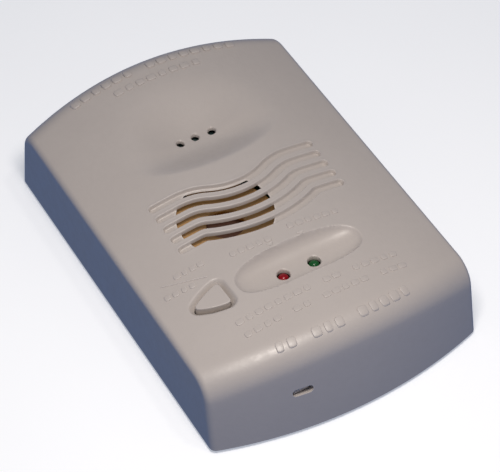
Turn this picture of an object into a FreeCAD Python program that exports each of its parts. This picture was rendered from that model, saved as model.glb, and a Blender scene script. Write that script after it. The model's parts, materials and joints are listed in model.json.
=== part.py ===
import FreeCAD, Part
import math
import os
import Sketcher
from FreeCAD import Vector, Placement, Rotation

# Wall-mounted carbon monoxide detector. All sizes in millimetres.
# Frame: origin at the centre of the rear (wall) face, +Z out of the front face,
# +Y towards the top end as it hangs on a wall, +X to the right seen from the front.

doc = FreeCAD.newDocument("co_detector")
sheet = doc.addObject("Spreadsheet::Sheet", "dims")
aliases = []


class Size:
    """A size: its expression in the document and its value."""

    def __init__(self, text, value):
        self.text, self.value = text, float(value)

    def __add__(self, other):
        other = size(other)
        return Size(f"({self.text} + {other.text})", self.value + other.value)

    def __sub__(self, other):
        other = size(other)
        return Size(f"({self.text} - {other.text})", self.value - other.value)

    def __mul__(self, other):
        other = size(other)
        return Size(f"({self.text} * {other.text})", self.value * other.value)

    def __truediv__(self, other):
        other = size(other)
        return Size(f"({self.text} / {other.text})", self.value / other.value)

    def __neg__(self):
        return Size(f"(-1 * {self.text})", -self.value)


def size(number):
    return number if isinstance(number, Size) else Size("%.9g" % number, number)


def dim(alias, value):
    """Put a driving size in the sheet and return it."""
    aliases.append(alias)
    row = len(aliases)
    sheet.set(f"A{row}", alias)
    sheet.set(f"B{row}", "%.9g" % value)
    sheet.setAlias(f"B{row}", alias)
    return Size("dims." + alias, value)


# ---------------------------------------------------------------- driving sizes
body_width = dim("body_width", 83.8)
body_length = dim("body_length", 129.5)
body_depth = dim("body_depth", 30.0)
crown_drop = dim("crown_drop", 5.8)
end_bow_radius = dim("end_bow_radius", 132.3)
side_draft = dim("side_draft_deg", 1.24)
end_draft = dim("end_draft_deg", 8.68)
roll_radius = dim("roll_radius", 8.0)
edge_radius = dim("edge_radius", 2.1)
inner_edge_radius = dim("inner_edge_radius", 0.9)
wall = dim("wall_thickness", 2.2)
skirt_gap = dim("skirt_gap", 1.0)

dish_depth = dim("dish_depth", 5.6)
dish_y = dim("dish_centre_y", 25.0)
dish_half_width = dim("dish_half_width", 26.5)
dish_near = dim("dish_near_reach", 16.0)
dish_far = dim("dish_far_reach", 22.0)
vent_radius = dim("vent_radius", 1.2)
vent_pitch = dim("vent_pitch", 5.1)
vent_y = dim("vent_y", 26.0)

grille_half = dim("grille_half_length", 24.8)
grille_top = dim("grille_top_y", 5.2)
grille_dip = dim("grille_dip", 4.5)
grille_pitch = dim("grille_pitch", 4.3)
grille_crest_x = dim("grille_crest_x", 18.0)
grille_crest_radius = dim("grille_crest_radius", 19.1)
grille_trough_radius = dim("grille_trough_radius", 19.15)
groove_depth = dim("groove_depth", 1.3)
groove_half = dim("groove_half_width", 1.25)
slot_half = dim("slot_half_width", 1.2)
grille_zone_x = dim("grille_zone_x", -8.7)
grille_zone_y = dim("grille_zone_y", -6.9)
grille_zone_radius = dim("grille_zone_radius", 13.7)
grille_skin = dim("grille_skin", 1.5)

led_y = dim("led_y", -32.0)
led_x = dim("led_x", 4.8)
led_hole_radius = dim("led_hole_radius", 1.9)
recess_x = dim("recess_x", 0.3)
recess_y = dim("recess_y", -31.4)
recess_half_length = dim("recess_half_length", 19.9)
recess_half_width = dim("recess_half_width", 6.9)
recess_depth = dim("recess_depth", 4.15)
recess_lift = dim("recess_lift", 0.8)

pivot_y = dim("pivot_y", 61.0)
pivot_z = dim("pivot_z", 3.2)
hook_radius = dim("hook_radius", 1.2)
doc.recompute()

TAN_END = math.tan(math.radians(end_draft.value))
TAN_SIDE = math.tan(math.radians(side_draft.value))
HALF_WIDTH = body_width.value / 2
HALF_LENGTH = body_length.value / 2
CORNERS = [(-1, -1), (-1, 1), (1, -1), (1, 1)]  # signs of x and y
SIDES = (-1, 1)


# ---------------------------------------------------------------- solid helpers
def bind(obj, **props):
    """Bind properties to sizes; a double underscore stands for a dot."""
    for prop, value in props.items():
        obj.setExpression(prop.replace("__", "."), size(value).text)


def place(obj, x, y, z):
    bind(obj, Placement__Base__x=x, Placement__Base__y=y, Placement__Base__z=z)


def box(name, x0, x1, y0, y1, z0, z1):
    obj = doc.addObject("Part::Box", name)
    bind(obj, Length=size(x1) - x0, Width=size(y1) - y0, Height=size(z1) - z0)
    place(obj, x0, y0, z0)
    return obj


def cyl(name, radius, x, y, z0, z1):
    obj = doc.addObject("Part::Cylinder", name)
    bind(obj, Radius=radius, Height=size(z1) - z0)
    place(obj, x, y, z0)
    return obj


def cyl_x(name, radius, x0, x1, y, z):
    """Cylinder lying along X."""
    obj = doc.addObject("Part::Cylinder", name)
    bind(obj, Radius=radius, Height=size(x1) - x0)
    obj.Placement = Placement(Vector(0, 0, 0), Rotation(Vector(0, 1, 0), 90))
    place(obj, x0, y, z)
    return obj


def cone(name, radius0, radius1, x, y, z0, z1):
    obj = doc.addObject("Part::Cone", name)
    bind(obj, Radius1=radius0, Radius2=radius1, Height=size(z1) - z0)
    place(obj, x, y, z0)
    return obj


def cut(name, base, tool):
    obj = doc.addObject("Part::Cut", name)
    obj.Base, obj.Tool = base, tool
    return obj


def fuse(name, parts):
    obj = doc.addObject("Part::MultiFuse", name)
    obj.Shapes = parts
    return obj


def common(name, first, second):
    obj = doc.addObject("Part::Common", name)
    obj.Base, obj.Tool = first, second
    return obj


def group(name, parts):
    obj = doc.addObject("Part::Compound", name)
    obj.Links = parts
    return obj


def tube(name, outer_radius, inner_radius, x, y, z0, z1):
    return cut(name, cyl(name + "_outer", outer_radius, x, y, z0, z1),
               cyl(name + "_bore", inner_radius, x, y, size(z0) - 1, size(z1) + 1))


def fillet(name, base, radius, pick):
    """Fillet the edges of base that pick(edge) accepts."""
    doc.recompute()
    obj = doc.addObject("Part::Fillet", name)
    obj.Base = base
    obj.Edges = [(i + 1, radius, radius) for i, e in enumerate(base.Shape.Edges) if pick(e)]
    return obj


def starts_at(level):
    """Edge picker: the lowest point of the edge is at this z."""
    return lambda edge: abs(edge.BoundBox.ZMin - level.value) < 1e-4


def feature(name, shape):
    obj = doc.addObject("Part::Feature", name)
    obj.Shape = shape
    obj.Placement = Placement()
    return obj


def prism(wire, height):
    return Part.Face(wire).extrude(Vector(0, 0, height))


def at_corners(x, y):
    """Index and position of the four points (+-x, +-y)."""
    return [(i, x * side_x, y * side_y) for i, (side_x, side_y) in enumerate(CORNERS)]


NODES = {}


def node(label, obj):
    """Label a finished piece and list it for export."""
    obj.Label = label
    NODES[label] = obj


# ---------------------------------------------------------------- sketch helpers
# Sketches lie on the body's own XY plane, with their sizes bound to the sheet.
def new_body(name):
    return doc.addObject("PartDesign::Body", name + "_body")


def sketch(body, name, z):
    plane = [o for o in body.Origin.OriginFeatures if o.Role == "XY_Plane"][0]
    sk = body.newObject("Sketcher::SketchObject", name)
    sk.AttachmentSupport = (plane, [""])
    sk.MapMode = "FlatFace"
    sk.setExpression("AttachmentOffset.Base.z", size(z).text)
    return sk


def bound(sk, kind, *where):
    """Add a constraint whose last argument is a size, bound to its expression."""
    value = where[-1]
    i = sk.addConstraint(Sketcher.Constraint(kind, *where[:-1], value.value))
    sk.setExpression(f"Constraints[{i}]", value.text)


def fix(sk, kind, geo, point, value):
    """Hold a point at a distance from the origin; zero needs an alignment instead."""
    value = size(value)
    if abs(value.value) < 1e-9:
        align = "Vertical" if kind == "DistanceX" else "Horizontal"
        sk.addConstraint(Sketcher.Constraint(align, -1, 1, geo, point))
    else:
        bound(sk, kind, -1, 1, geo, point, value)


def fix_xy(sk, geo, point, x, y):
    fix(sk, "DistanceX", geo, point, x)
    fix(sk, "DistanceY", geo, point, y)


def circle_at(x, y, radius):
    return Part.Circle(Vector(x.value, y.value, 0), Vector(0, 0, 1), radius.value)


def sk_circle(sk, x, y, radius):
    x, y, radius = size(x), size(y), size(radius)
    geo = sk.addGeometry(circle_at(x, y, radius), False)
    bound(sk, "Radius", geo, radius)
    fix_xy(sk, geo, 3, x, y)


def sk_rect(sk, x0, x1, y0, y1):
    x0, x1, y0, y1 = size(x0), size(x1), size(y0), size(y1)
    points = [Vector(x.value, y.value, 0) for x, y in ((x0, y0), (x1, y0), (x1, y1), (x0, y1))]
    geo = [sk.addGeometry(Part.LineSegment(points[i], points[(i + 1) % 4]), False)
           for i in range(4)]
    for i in range(4):
        sk.addConstraint(Sketcher.Constraint("Coincident", geo[i], 2, geo[(i + 1) % 4], 1))
    for i, kind in enumerate(("Horizontal", "Vertical", "Horizontal", "Vertical")):
        sk.addConstraint(Sketcher.Constraint(kind, geo[i]))
    fix_xy(sk, geo[0], 1, x0, y0)
    fix_xy(sk, geo[1], 2, x1, y1)


def sk_slot_y(sk, x, y, radius, half):
    """Slot along Y: half is slot centre to arc centre."""
    x, y = size(x), size(y)
    y0, y1 = y - half, y + half
    left, right = (x - radius).value, (x + radius).value
    upper = sk.addGeometry(Part.ArcOfCircle(circle_at(x, y1, radius), 0, math.pi), False)
    lower = sk.addGeometry(
        Part.ArcOfCircle(circle_at(x, y0, radius), math.pi, 2 * math.pi), False)
    down = sk.addGeometry(
        Part.LineSegment(Vector(left, y1.value, 0), Vector(left, y0.value, 0)), False)
    up = sk.addGeometry(
        Part.LineSegment(Vector(right, y0.value, 0), Vector(right, y1.value, 0)), False)
    for first, second in ((upper, down), (down, lower), (lower, up), (up, upper)):
        sk.addConstraint(Sketcher.Constraint("Tangent", first, 2, second, 1))
    bound(sk, "Radius", upper, radius)
    fix_xy(sk, upper, 3, x, y1)
    sk.addConstraint(Sketcher.Constraint("Vertical", upper, 3, lower, 3))
    bound(sk, "DistanceY", lower, 3, upper, 3, half * 2)


def sk_outline(sk, half_width, corner_y, half_length):
    """Straight sides and bowed ends, symmetric about both axes."""
    w, c, end = half_width.value, corner_y.value, half_length.value
    top_left, low_left = Vector(-w, c, 0), Vector(-w, -c, 0)
    top_right, low_right = Vector(w, c, 0), Vector(w, -c, 0)
    left = sk.addGeometry(Part.LineSegment(top_left, low_left), False)
    bottom = sk.addGeometry(Part.Arc(low_left, Vector(0, -end, 0), low_right), False)
    right = sk.addGeometry(Part.LineSegment(low_right, top_right), False)
    top = sk.addGeometry(Part.Arc(top_right, Vector(0, end, 0), top_left), False)
    for first, second in ((left, bottom), (bottom, right), (right, top), (top, left)):
        sk.addConstraint(Sketcher.Constraint("Coincident", first, 2, second, 1))
    fix_xy(sk, left, 1, -half_width, corner_y)
    fix_xy(sk, left, 2, -half_width, -corner_y)
    fix_xy(sk, right, 1, half_width, -corner_y)
    fix_xy(sk, right, 2, half_width, corner_y)
    bow = half_length - corner_y
    radius = (half_width * half_width + bow * bow) / (bow * 2)
    for geo in (bottom, top):
        bound(sk, "Radius", geo, radius)


def pad(body, sk, name, length):
    obj = body.newObject("PartDesign::Pad", name)
    obj.Profile = sk
    obj.setExpression("Length", size(length).text)
    doc.recompute()
    return obj


def pocket(body, sk, depth):
    """Pocket from the sketch plane towards +Z."""
    before = body.Shape.Volume
    obj = body.newObject("PartDesign::Pocket", sk.Name + "_cut")
    obj.Profile = sk
    obj.setExpression("Length", size(depth).text)
    obj.Reversed = True
    doc.recompute()
    if body.Shape.Volume > before - 1e-6:
        raise RuntimeError(f"pocket {obj.Name} cuts nothing")


def rect_pocket(body, name, z, depth, x0, x1, y0, y1):
    sk = sketch(body, name, z)
    sk_rect(sk, x0, x1, y0, y1)
    pocket(body, sk, depth)


def rounded_block(name, x0, x1, y0, y1, z0, z1, radius):
    """A rectangular pad in its own body, with its upright edges rounded."""
    height = size(z1) - z0
    body = new_body(name)
    sk = sketch(body, name + "_profile", z0)
    sk_rect(sk, x0, x1, y0, y1)
    block = pad(body, sk, name + "_pad", height)
    upright = [f"Edge{i + 1}" for i, e in enumerate(block.Shape.Edges)
               if abs(e.BoundBox.ZLength - height.value) < 1e-3]
    rounding = body.newObject("PartDesign::Fillet", name + "_round")
    rounding.Base = (block, upright)
    rounding.setExpression("Radius", size(radius).text)
    doc.recompute()
    return body


# ---------------------------------------------------------------- the moulded face
def crown(x):
    """Height of the face before the dish is sunk into it."""
    return body_depth.value - crown_drop.value * (x / HALF_WIDTH) ** 2


def smooth(t):
    t = max(0.0, min(1.0, t))
    return t * t * (3 - 2 * t)


def dish(x, y):
    """Depth of the dish: an oval bowl, steeper on its -Y side."""
    dy = y - dish_y.value
    reach = dish_near.value if dy < 0 else dish_far.value
    square = (x / dish_half_width.value) ** 2 + (dy / reach) ** 2
    if square >= 1.0:
        return 0.0
    radius = math.sqrt(square)
    side = (dy / reach) / radius if radius > 1e-6 else 0.0
    power = 1.5 + 0.5 * smooth((side + 0.6) / 1.4)
    return dish_depth.value * (1 - square) ** power


def end_sag(x):
    """How far the bowed end falls back at x."""
    radius = end_bow_radius.value
    return radius - math.sqrt(radius * radius - x * x)


DEGREE = 3


def chord_params(points):
    dist = [0.0]
    for a, b in zip(points, points[1:]):
        dist.append(dist[-1] + (b - a).Length)
    return [d / dist[-1] for d in dist]


def basis(knots, span, t):
    """Non-zero B-spline basis values at t."""
    values = [1.0]
    left, right = [0.0] * (DEGREE + 1), [0.0] * (DEGREE + 1)
    for j in range(1, DEGREE + 1):
        left[j] = t - knots[span + 1 - j]
        right[j] = knots[span + j] - t
        saved = 0.0
        for r in range(j):
            weight = values[r] / (right[r + 1] + left[j - r])
            values[r] = saved + right[r + 1] * weight
            saved = left[j - r] * weight
        values.append(saved)
    return values


class Interpolator:
    """Cubic interpolation through points at fixed parameters: exact at every point."""

    def __init__(self, params):
        count = len(params)
        self.count = count
        inner = [sum(params[j:j + DEGREE]) / DEGREE for j in range(1, count - DEGREE)]
        self.knots = [params[0]] * (DEGREE + 1) + inner + [params[-1]] * (DEGREE + 1)
        matrix = []
        for t in params:
            span = DEGREE
            while span < count - 1 and t >= self.knots[span + 1]:
                span += 1
            line = [0.0] * count
            for i, value in enumerate(basis(self.knots, span, t)):
                line[span - DEGREE + i] = value
            matrix.append(line)
        # banded elimination, kept as multipliers
        self.multipliers = []
        for k in range(count):
            band_end = min(count, k + DEGREE + 1)
            for i in range(k + 1, band_end):
                factor = matrix[i][k] / matrix[k][k]
                if factor:
                    self.multipliers.append((i, k, factor))
                    for j in range(k, band_end):
                        matrix[i][j] -= factor * matrix[k][j]
        self.matrix = matrix

    def solve(self, points):
        """Poles of the curve through the points."""
        poles = [Vector(p) for p in points]
        for i, k, factor in self.multipliers:
            poles[i] = poles[i] - poles[k] * factor
        for k in range(self.count - 1, -1, -1):
            pole = poles[k]
            for j in range(k + 1, min(self.count, k + DEGREE + 1)):
                pole = pole - poles[j] * self.matrix[k][j]
            poles[k] = pole * (1.0 / self.matrix[k][k])
        return poles

    def knots_mults(self):
        knots, mults = [], []
        for knot in self.knots:
            if knots and abs(knot - knots[-1]) < 1e-12:
                mults[-1] += 1
            else:
                knots.append(knot)
                mults.append(1)
        return knots, mults


def smooth_surface(rows):
    """One cubic surface through a grid of points."""
    along = Interpolator(chord_params(rows[len(rows) // 2]))
    across = Interpolator(chord_params([row[len(row) // 2] for row in rows]))
    half = [along.solve(row) for row in rows]
    columns = [across.solve([row[j] for row in half]) for j in range(len(rows[0]))]
    poles = [list(line) for line in zip(*columns)]
    knots_u, mults_u = across.knots_mults()
    knots_v, mults_v = along.knots_mults()
    surface = Part.BSplineSurface()
    surface.buildFromPolesMultsKnots(poles, mults_u, mults_v, knots_u, knots_v,
                                     False, False, DEGREE, DEGREE)
    return surface


# Sampling of the moulded surface
HALF_STATIONS = 23       # steps from the centre line to the start of the edge rounding
ROUND_STATIONS = 7       # steps round the long edge
ROUND_START_DEG = 16.0   # where on the edge radius the rounding starts
WALL_STEPS = 6           # steps up an end wall
ROLL_STEPS = 10          # steps round the roll from end wall to face
FACE_STEPS = 66          # steps along the face


def skin_solid(inset, drop, z_low, edge_r):
    """A solid under one smooth skin: up the bottom end wall, over the crowned face
    with its dish and down the top end wall, with its long edges and corners
    rounded to edge_r, closed by the two side walls and the base.
    inset moves the walls in, drop moves the face down."""
    half = HALF_WIDTH - inset
    start = math.radians(ROUND_START_DEG)
    x_round = half - edge_r * (1 - math.sin(start))
    # stations across the width: x and how far the skin has sunk there
    stations = [(x_round * k / HALF_STATIONS, 0.0) for k in range(HALF_STATIONS + 1)]
    for k in range(1, ROUND_STATIONS + 1):
        angle = start + (math.pi / 2 - start) * k / ROUND_STATIONS
        stations.append((half - edge_r + edge_r * math.sin(angle),
                         edge_r * (math.cos(start) - math.cos(angle))))
    stations = [(-x, sunk) for x, sunk in reversed(stations[1:])] + stations
    draft = math.radians(end_draft.value)
    roll_angle = math.pi / 2 - draft
    rows = []
    for x, sunk in stations:
        x_face = max(-x_round, min(x_round, x))
        top = crown(x_face) - drop - sunk
        y_end = HALF_LENGTH - inset / math.cos(draft) - end_sag(x_face) - sunk / math.cos(draft)
        roll = roll_radius.value - inset - sunk
        roll_y = y_end - top * TAN_END - roll * math.tan(roll_angle / 2)
        roll_z = top - roll
        z_tangent = roll_z + roll * math.sin(draft)
        profile = []
        for i in range(WALL_STEPS):
            z = z_low + (z_tangent - z_low) * i / WALL_STEPS
            profile.append((y_end - z * TAN_END, z))
        for i in range(ROLL_STEPS):
            angle = draft + roll_angle * i / ROLL_STEPS
            profile.append((roll_y + roll * math.cos(angle), roll_z + roll * math.sin(angle)))
        points = [(-y, z) for y, z in profile]
        for i in range(FACE_STEPS + 1):
            y = -roll_y + 2 * roll_y * i / FACE_STEPS
            points.append((y, top - dish(x_face, y)))
        points += reversed(profile)
        rows.append([Vector(x - (x / half) * z * TAN_SIDE, y, z) for y, z in points])
    skin = smooth_surface(rows).toShape()
    base = [e for e in skin.Edges if e.BoundBox.ZLength < 5]
    sides = [e for e in skin.Edges if e.BoundBox.ZLength > 5]
    faces = [skin]
    chords = []
    for edge in sides:
        chord = Part.makeLine(edge.Vertexes[0].Point, edge.Vertexes[-1].Point)
        chords.append(chord)
        faces.append(Part.Face(Part.Wire(Part.__sortEdges__([edge, chord]))))
    faces.append(Part.Face(Part.Wire(Part.__sortEdges__(base + chords))))
    closed = Part.makeShell(faces)
    closed.sewShape()
    solid = Part.makeSolid(closed)
    if solid.Volume < 0:
        solid.reverse()
    return solid


INNER_Z_LOW = -1.0  # the hollow starts behind the cover's rear edge
outer_form = feature("outer_form",
                     skin_solid(0.0, 0.0, skirt_gap.value, edge_radius.value))
inner_form = feature("inner_form", skin_solid(wall.value, wall.value, INNER_Z_LOW,
                                              inner_edge_radius.value))
raised_form = feature("raised_form", skin_solid(wall.value, grille_skin.value, INNER_Z_LOW,
                                                inner_edge_radius.value))
# the cover is thinner behind the open part of the grille
zone_post = cyl("zone_post", grille_zone_radius, grille_zone_x, grille_zone_y, 20.0, 40.0)
grille_pocket = common("grille_pocket", raised_form, zone_post)

# ---------------------------------------------------------------- button outline
# A rounded triangle. x, y of a corner, and the bulge of the side that follows it:
# upper corner, outer corner, lower corner.
BUTTON_CORNERS = [
    (-22.55, -27.30, 0.55),
    (-32.00, -31.10, 0.75),
    (-22.30, -34.95, 0.05),
]
button_centre = Vector(-26.2, -31.4, 0)
button_corner_radius = dim("button_corner_radius", 0.9)


def bulged_side(start, end, bulge):
    """Arc between two corners, bulging away from the button's centre."""
    middle = (start + end) * 0.5
    normal = Vector(end.y - start.y, start.x - end.x, 0).normalize()
    if normal.dot(middle - button_centre) < 0:
        normal = -normal
    return Part.Arc(start, middle + normal * bulge, end).toShape()


def button_outline(grow, z):
    """The button outline with rounded corners, grown outwards."""
    corners = [Vector(x, y, 0) for x, y, bulge in BUTTON_CORNERS]
    sharp = Part.Wire([bulged_side(corners[i], corners[(i + 1) % 3], BUTTON_CORNERS[i][2])
                       for i in range(3)])
    radius = button_corner_radius.value
    core = Part.Face(sharp).makeOffset2D(-radius, 0, False, False, False)
    grown = core.makeOffset2D(radius + grow, 0, False, False, False)
    # the offset may come back as a face or as a compound holding one
    wire = grown.OuterWire if hasattr(grown, "OuterWire") else grown.Faces[0].OuterWire
    wire = wire.copy()
    wire.translate(Vector(0, 0, z))
    return wire


# ---------------------------------------------------------------- inside the cover
boss_x = dim("boss_x", 34.0)
boss_y = dim("boss_y", 44.0)
boss_radius = dim("boss_radius", 3.0)
boss_z = dim("boss_foot_z", 8.0)
SOCKET_X = (2.6, 9.0)    # inner and outer end of a hinge socket
RECESS_WALL = 1.9        # material kept round the light recess


def light_recess(name, grow):
    """The oval recess round the lights, as an ellipsoid grown by grow."""
    obj = doc.addObject("Part::Ellipsoid", name)
    bind(obj, Radius1=recess_depth + recess_lift + grow, Radius2=recess_half_length + grow,
         Radius3=recess_half_width + grow, Angle1=-90, Angle2=90, Angle3=360)
    place(obj, recess_x, recess_y, body_depth + recess_lift)
    return obj


def left_and_right(x_range):
    """Suffix and x range on the left (-X) and on the right."""
    inner, outer = x_range
    return ("l", -outer, -inner), ("r", inner, outer)


bosses = [cyl(f"cover_boss_{i}", boss_radius, x, y, boss_z, 32.0)
          for i, x, y in at_corners(boss_x, boss_y)]
collar = tube("sensor_collar", 11.4, 10.1, 0.0, vent_y, 18.6, 29.0)
sockets = [box("hinge_socket_" + suffix, x0, x1, pivot_y - 2.2, pivot_y + 3.0,
               pivot_z, pivot_z + 3.6) for suffix, x0, x1 in left_and_right(SOCKET_X)]
recess_bump = light_recess("light_recess_bump", RECESS_WALL)
button_pad = feature("button_pad", prism(button_outline(3.3, 23.6), 8))
inside_parts = fuse("inside_parts", bosses + [collar] + sockets + [recess_bump, button_pad])
cavity_plain = cut("cavity_plain", inner_form, inside_parts)
cavity = fuse("cavity", [cavity_plain, grille_pocket])
cover_shell = cut("cover_shell", outer_form, cavity)

# ---------------------------------------------------------------- wavy grille
GROOVES = 5
GROOVE_BASE_Z = 10.0     # the groove prisms start here
GROOVE_PRISM = 30.0      # and are this tall
TOP_SLOT_SHIFT = 1.45    # narrows the top slot from its upper side


def wave_wire(i):
    """Centre line of groove i: level ends, two crests and one trough, all arcs
    about shared centres so that the grooves stay parallel."""
    crest_radius = grille_crest_radius.value - i * grille_pitch.value
    trough_radius = grille_trough_radius.value + i * grille_pitch.value
    crest_x = grille_crest_x.value
    half = grille_half.value
    level = grille_top.value - i * grille_pitch.value
    crest_y = grille_top.value - grille_crest_radius.value
    trough_y = grille_top.value - grille_dip.value + grille_trough_radius.value
    swing = math.asin(crest_x / (crest_radius + trough_radius))

    def arc(centre_x, centre_y, radius, angles, up):
        return Part.Arc(*[Vector(centre_x + radius * math.sin(a),
                                 centre_y + up * radius * math.cos(a), GROOVE_BASE_Z)
                          for a in angles]).toShape()

    def level_line(x0, x1):
        return Part.makeLine(Vector(x0, level, GROOVE_BASE_Z), Vector(x1, level, GROOVE_BASE_Z))

    return Part.Wire([
        level_line(-half, -crest_x),
        arc(-crest_x, crest_y, crest_radius, (0, swing / 2, swing), 1),
        arc(0, trough_y, trough_radius, (-swing, 0, swing), -1),
        arc(crest_x, crest_y, crest_radius, (-swing, -swing / 2, 0), 1),
        level_line(crest_x, half)])


def wave_band(i, half_width):
    """The groove's outline, round-ended, stood up as a prism."""
    outline = wave_wire(i).makeOffset2D(half_width, 0, False, False, False)
    # the offset may come back as a wire or as a compound holding one
    wire = outline if isinstance(outline, Part.Wire) else outline.Wires[0]
    return prism(wire, GROOVE_PRISM)


crown_radius = (HALF_WIDTH ** 2 + crown_drop.value ** 2) / (2 * crown_drop.value)
groove_floor = Part.makeCylinder(crown_radius - groove_depth.value, 80,
                                 Vector(0, -40, body_depth.value - crown_radius),
                                 Vector(0, 1, 0))
slot_zone = Part.makeCylinder(grille_zone_radius.value, 30,
                              Vector(grille_zone_x.value, grille_zone_y.value, 15))
grooves = []
slots = []
for i in range(GROOVES):
    grooves.append(wave_band(i, groove_half.value).cut(groove_floor))
    slot = wave_band(i, slot_half.value).common(slot_zone)
    if i == 0:
        # the top slot only opens along its lower side
        keep = wave_band(i, slot_half.value)
        keep.translate(Vector(0, -TOP_SLOT_SHIFT, 0))
        slot = slot.common(keep)
    slots.append(slot)
groove_tool = feature("grille_groove_tool", Part.makeCompound(grooves))
slot_tool = feature("grille_slot_tool", Part.makeCompound(slots))

# ---------------------------------------------------------------- vents, light recess, release slot
FACE_CUT = (15.0, 40.0)  # z range of a hole through the face
vents = [cyl(f"vent_hole_{k}", vent_radius, vent_pitch * k, vent_y - abs(k) * 0.4, *FACE_CUT)
         for k in (-1, 0, 1)]
recess = light_recess("light_recess_tool", 0.0)
led_holes = [cyl(f"light_hole_{side}", led_hole_radius, led_x * side, led_y, *FACE_CUT)
             for side in SIDES]
release_x0 = dim("release_slot_x0", -18.9)
release_x1 = dim("release_slot_x1", -12.9)
release_z0 = dim("release_slot_z0", 13.5)
release_z1 = dim("release_slot_z1", 15.9)
release_box = box("release_slot_box", release_x0, release_x1, -70.0, -50.0,
                  release_z0, release_z1)
release_slot = fillet("release_slot_tool", release_box, 1.1, lambda e: e.Length > 15)

# ---------------------------------------------------------------- button opening, sloped surround
clearance = dim("button_clearance", 0.3).value
surround = dim("button_surround", 1.85).value
surround_depth = dim("button_surround_depth", 1.9).value
# slope and height of the crowned face at the button
face_slope = math.degrees(math.atan(2 * crown_drop.value * button_centre.x / HALF_WIDTH ** 2))
face_z = crown(button_centre.x)
hole = prism(button_outline(clearance, 10.0), 30)
ramp = Part.makeLoft([button_outline(clearance, face_z - surround_depth),
                      button_outline(surround, face_z),
                      button_outline(surround + 0.3, face_z + 0.38)], True, True)
ramp.rotate(Vector(button_centre.x, button_centre.y, face_z), Vector(0, 1, 0), face_slope)
button_hole = feature("button_hole_tool", hole.fuse(ramp))

# ---------------------------------------------------------------- front cover
boss_bores = [cyl(f"boss_bore_{i}", 1.3, x, y, 4.0, 19.5)
              for i, x, y in at_corners(boss_x, boss_y)]
hook_bore = cyl_x("hook_bore", hook_radius + 0.05, -12.0, 12.0, pivot_y, pivot_z)
cover_tools = fuse("cover_tools", vents + led_holes + [release_slot] + boss_bores + [hook_bore])
cover = cover_shell
for letter, tool in zip("abcde", (cover_tools, button_hole, recess, groove_tool, slot_tool)):
    cover = cut("cover_" + letter, cover, tool)
node("front_cover", cover)

# ================================================================ mounting plate
plate_t = dim("plate_thickness", 2.0)
plate_half_width = dim("plate_half_width", 38.9)
plate_half_length = dim("plate_half_length", 60.3)
plate_corner = dim("plate_corner_y", 54.5)
gang_pitch = dim("gang_box_pitch", 83.3)
gang_slot_radius = dim("gang_slot_radius", 2.1)
gang_slot_length = dim("gang_slot_length", 8.0)
wall_hole_radius = dim("wall_hole_radius", 2.2)
wall_hole_pitch = dim("wall_hole_pitch", 60.0)
PLATE_RIM_HEIGHT = 1.4
PLATE_CUT_Z = -1.0
PLATE_CUT_DEPTH = 10.0
HOOK_X = (3.4, 8.2)              # inner and outer side of a hook
LATCH_WINDOW_X = (-21.0, -11.0)
LATCH_WINDOW_TOP = -55.8
CHEEK_T = 0.85

plate = new_body("mounting_plate")
sk = sketch(plate, "plate_outline", 0.0)
sk_outline(sk, plate_half_width, plate_corner, plate_half_length)
pad(plate, sk, "plate_pad", plate_t)
sk = sketch(plate, "plate_rim_outline", 0.0)
sk_outline(sk, plate_half_width, plate_corner, plate_half_length)
sk_outline(sk, plate_half_width - 1.4, plate_corner - 1.6, plate_half_length - 1.9)
pad(plate, sk, "plate_rim", plate_t + PLATE_RIM_HEIGHT)
rect_pocket(plate, "wire_opening", PLATE_CUT_Z, PLATE_CUT_DEPTH, -20.0, 20.0, -15.0, 15.0)
sk = sketch(plate, "gang_slots", PLATE_CUT_Z)
for side in SIDES:
    sk_slot_y(sk, 0.0, gang_pitch * (0.5 * side), gang_slot_radius,
              gang_slot_length / 2 - gang_slot_radius)
pocket(plate, sk, PLATE_CUT_DEPTH)
sk = sketch(plate, "wall_holes", PLATE_CUT_Z)
for side in SIDES:
    sk_circle(sk, wall_hole_pitch * (0.5 * side), 0.0, wall_hole_radius)
pocket(plate, sk, PLATE_CUT_DEPTH)
rect_pocket(plate, "latch_window", PLATE_CUT_Z, PLATE_CUT_DEPTH,
            *LATCH_WINDOW_X, -70.0, LATCH_WINDOW_TOP)
rect_pocket(plate, "hook_relief", plate_t, 6.0, -10.0, 10.0, 57.6, 66.0)
# hooks: an arm with a round nose, either side of the centre line
hooks = []
for suffix, x0, x1 in left_and_right(HOOK_X):
    hooks.append(box("hook_arm_" + suffix, x0, x1, 56.8, pivot_y, plate_t - 0.5, pivot_z))
    hooks.append(cyl_x("hook_nose_" + suffix, hook_radius, x0, x1, pivot_y, pivot_z))
# the latch stands between two cheeks
window_x0, window_x1 = LATCH_WINDOW_X
cheeks = [box("latch_cheek_" + suffix, x0, x0 + CHEEK_T, -58.6, LATCH_WINDOW_TOP, 0.0, 4.0)
          for suffix, x0 in (("l", window_x0), ("r", window_x1 - CHEEK_T))]
node("mounting_plate", fuse("mounting_plate_whole", [plate] + hooks + cheeks))

# ================================================================ release latch
latch_t = dim("latch_thickness", 1.3)
latch_y = dim("latch_y", -57.2)
latch_z = dim("latch_root_z", 1.6)
LATCH_X = (-20.0, -12.0)
BARB_X0, BARB_X1 = -18.1, -13.7
finger = box("latch_finger", *LATCH_X, latch_y - latch_t / 2, latch_y + latch_t / 2, 0.8, 17.4)
foot = cyl_x("latch_foot", 1.1, *LATCH_X, latch_y, latch_z)
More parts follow.
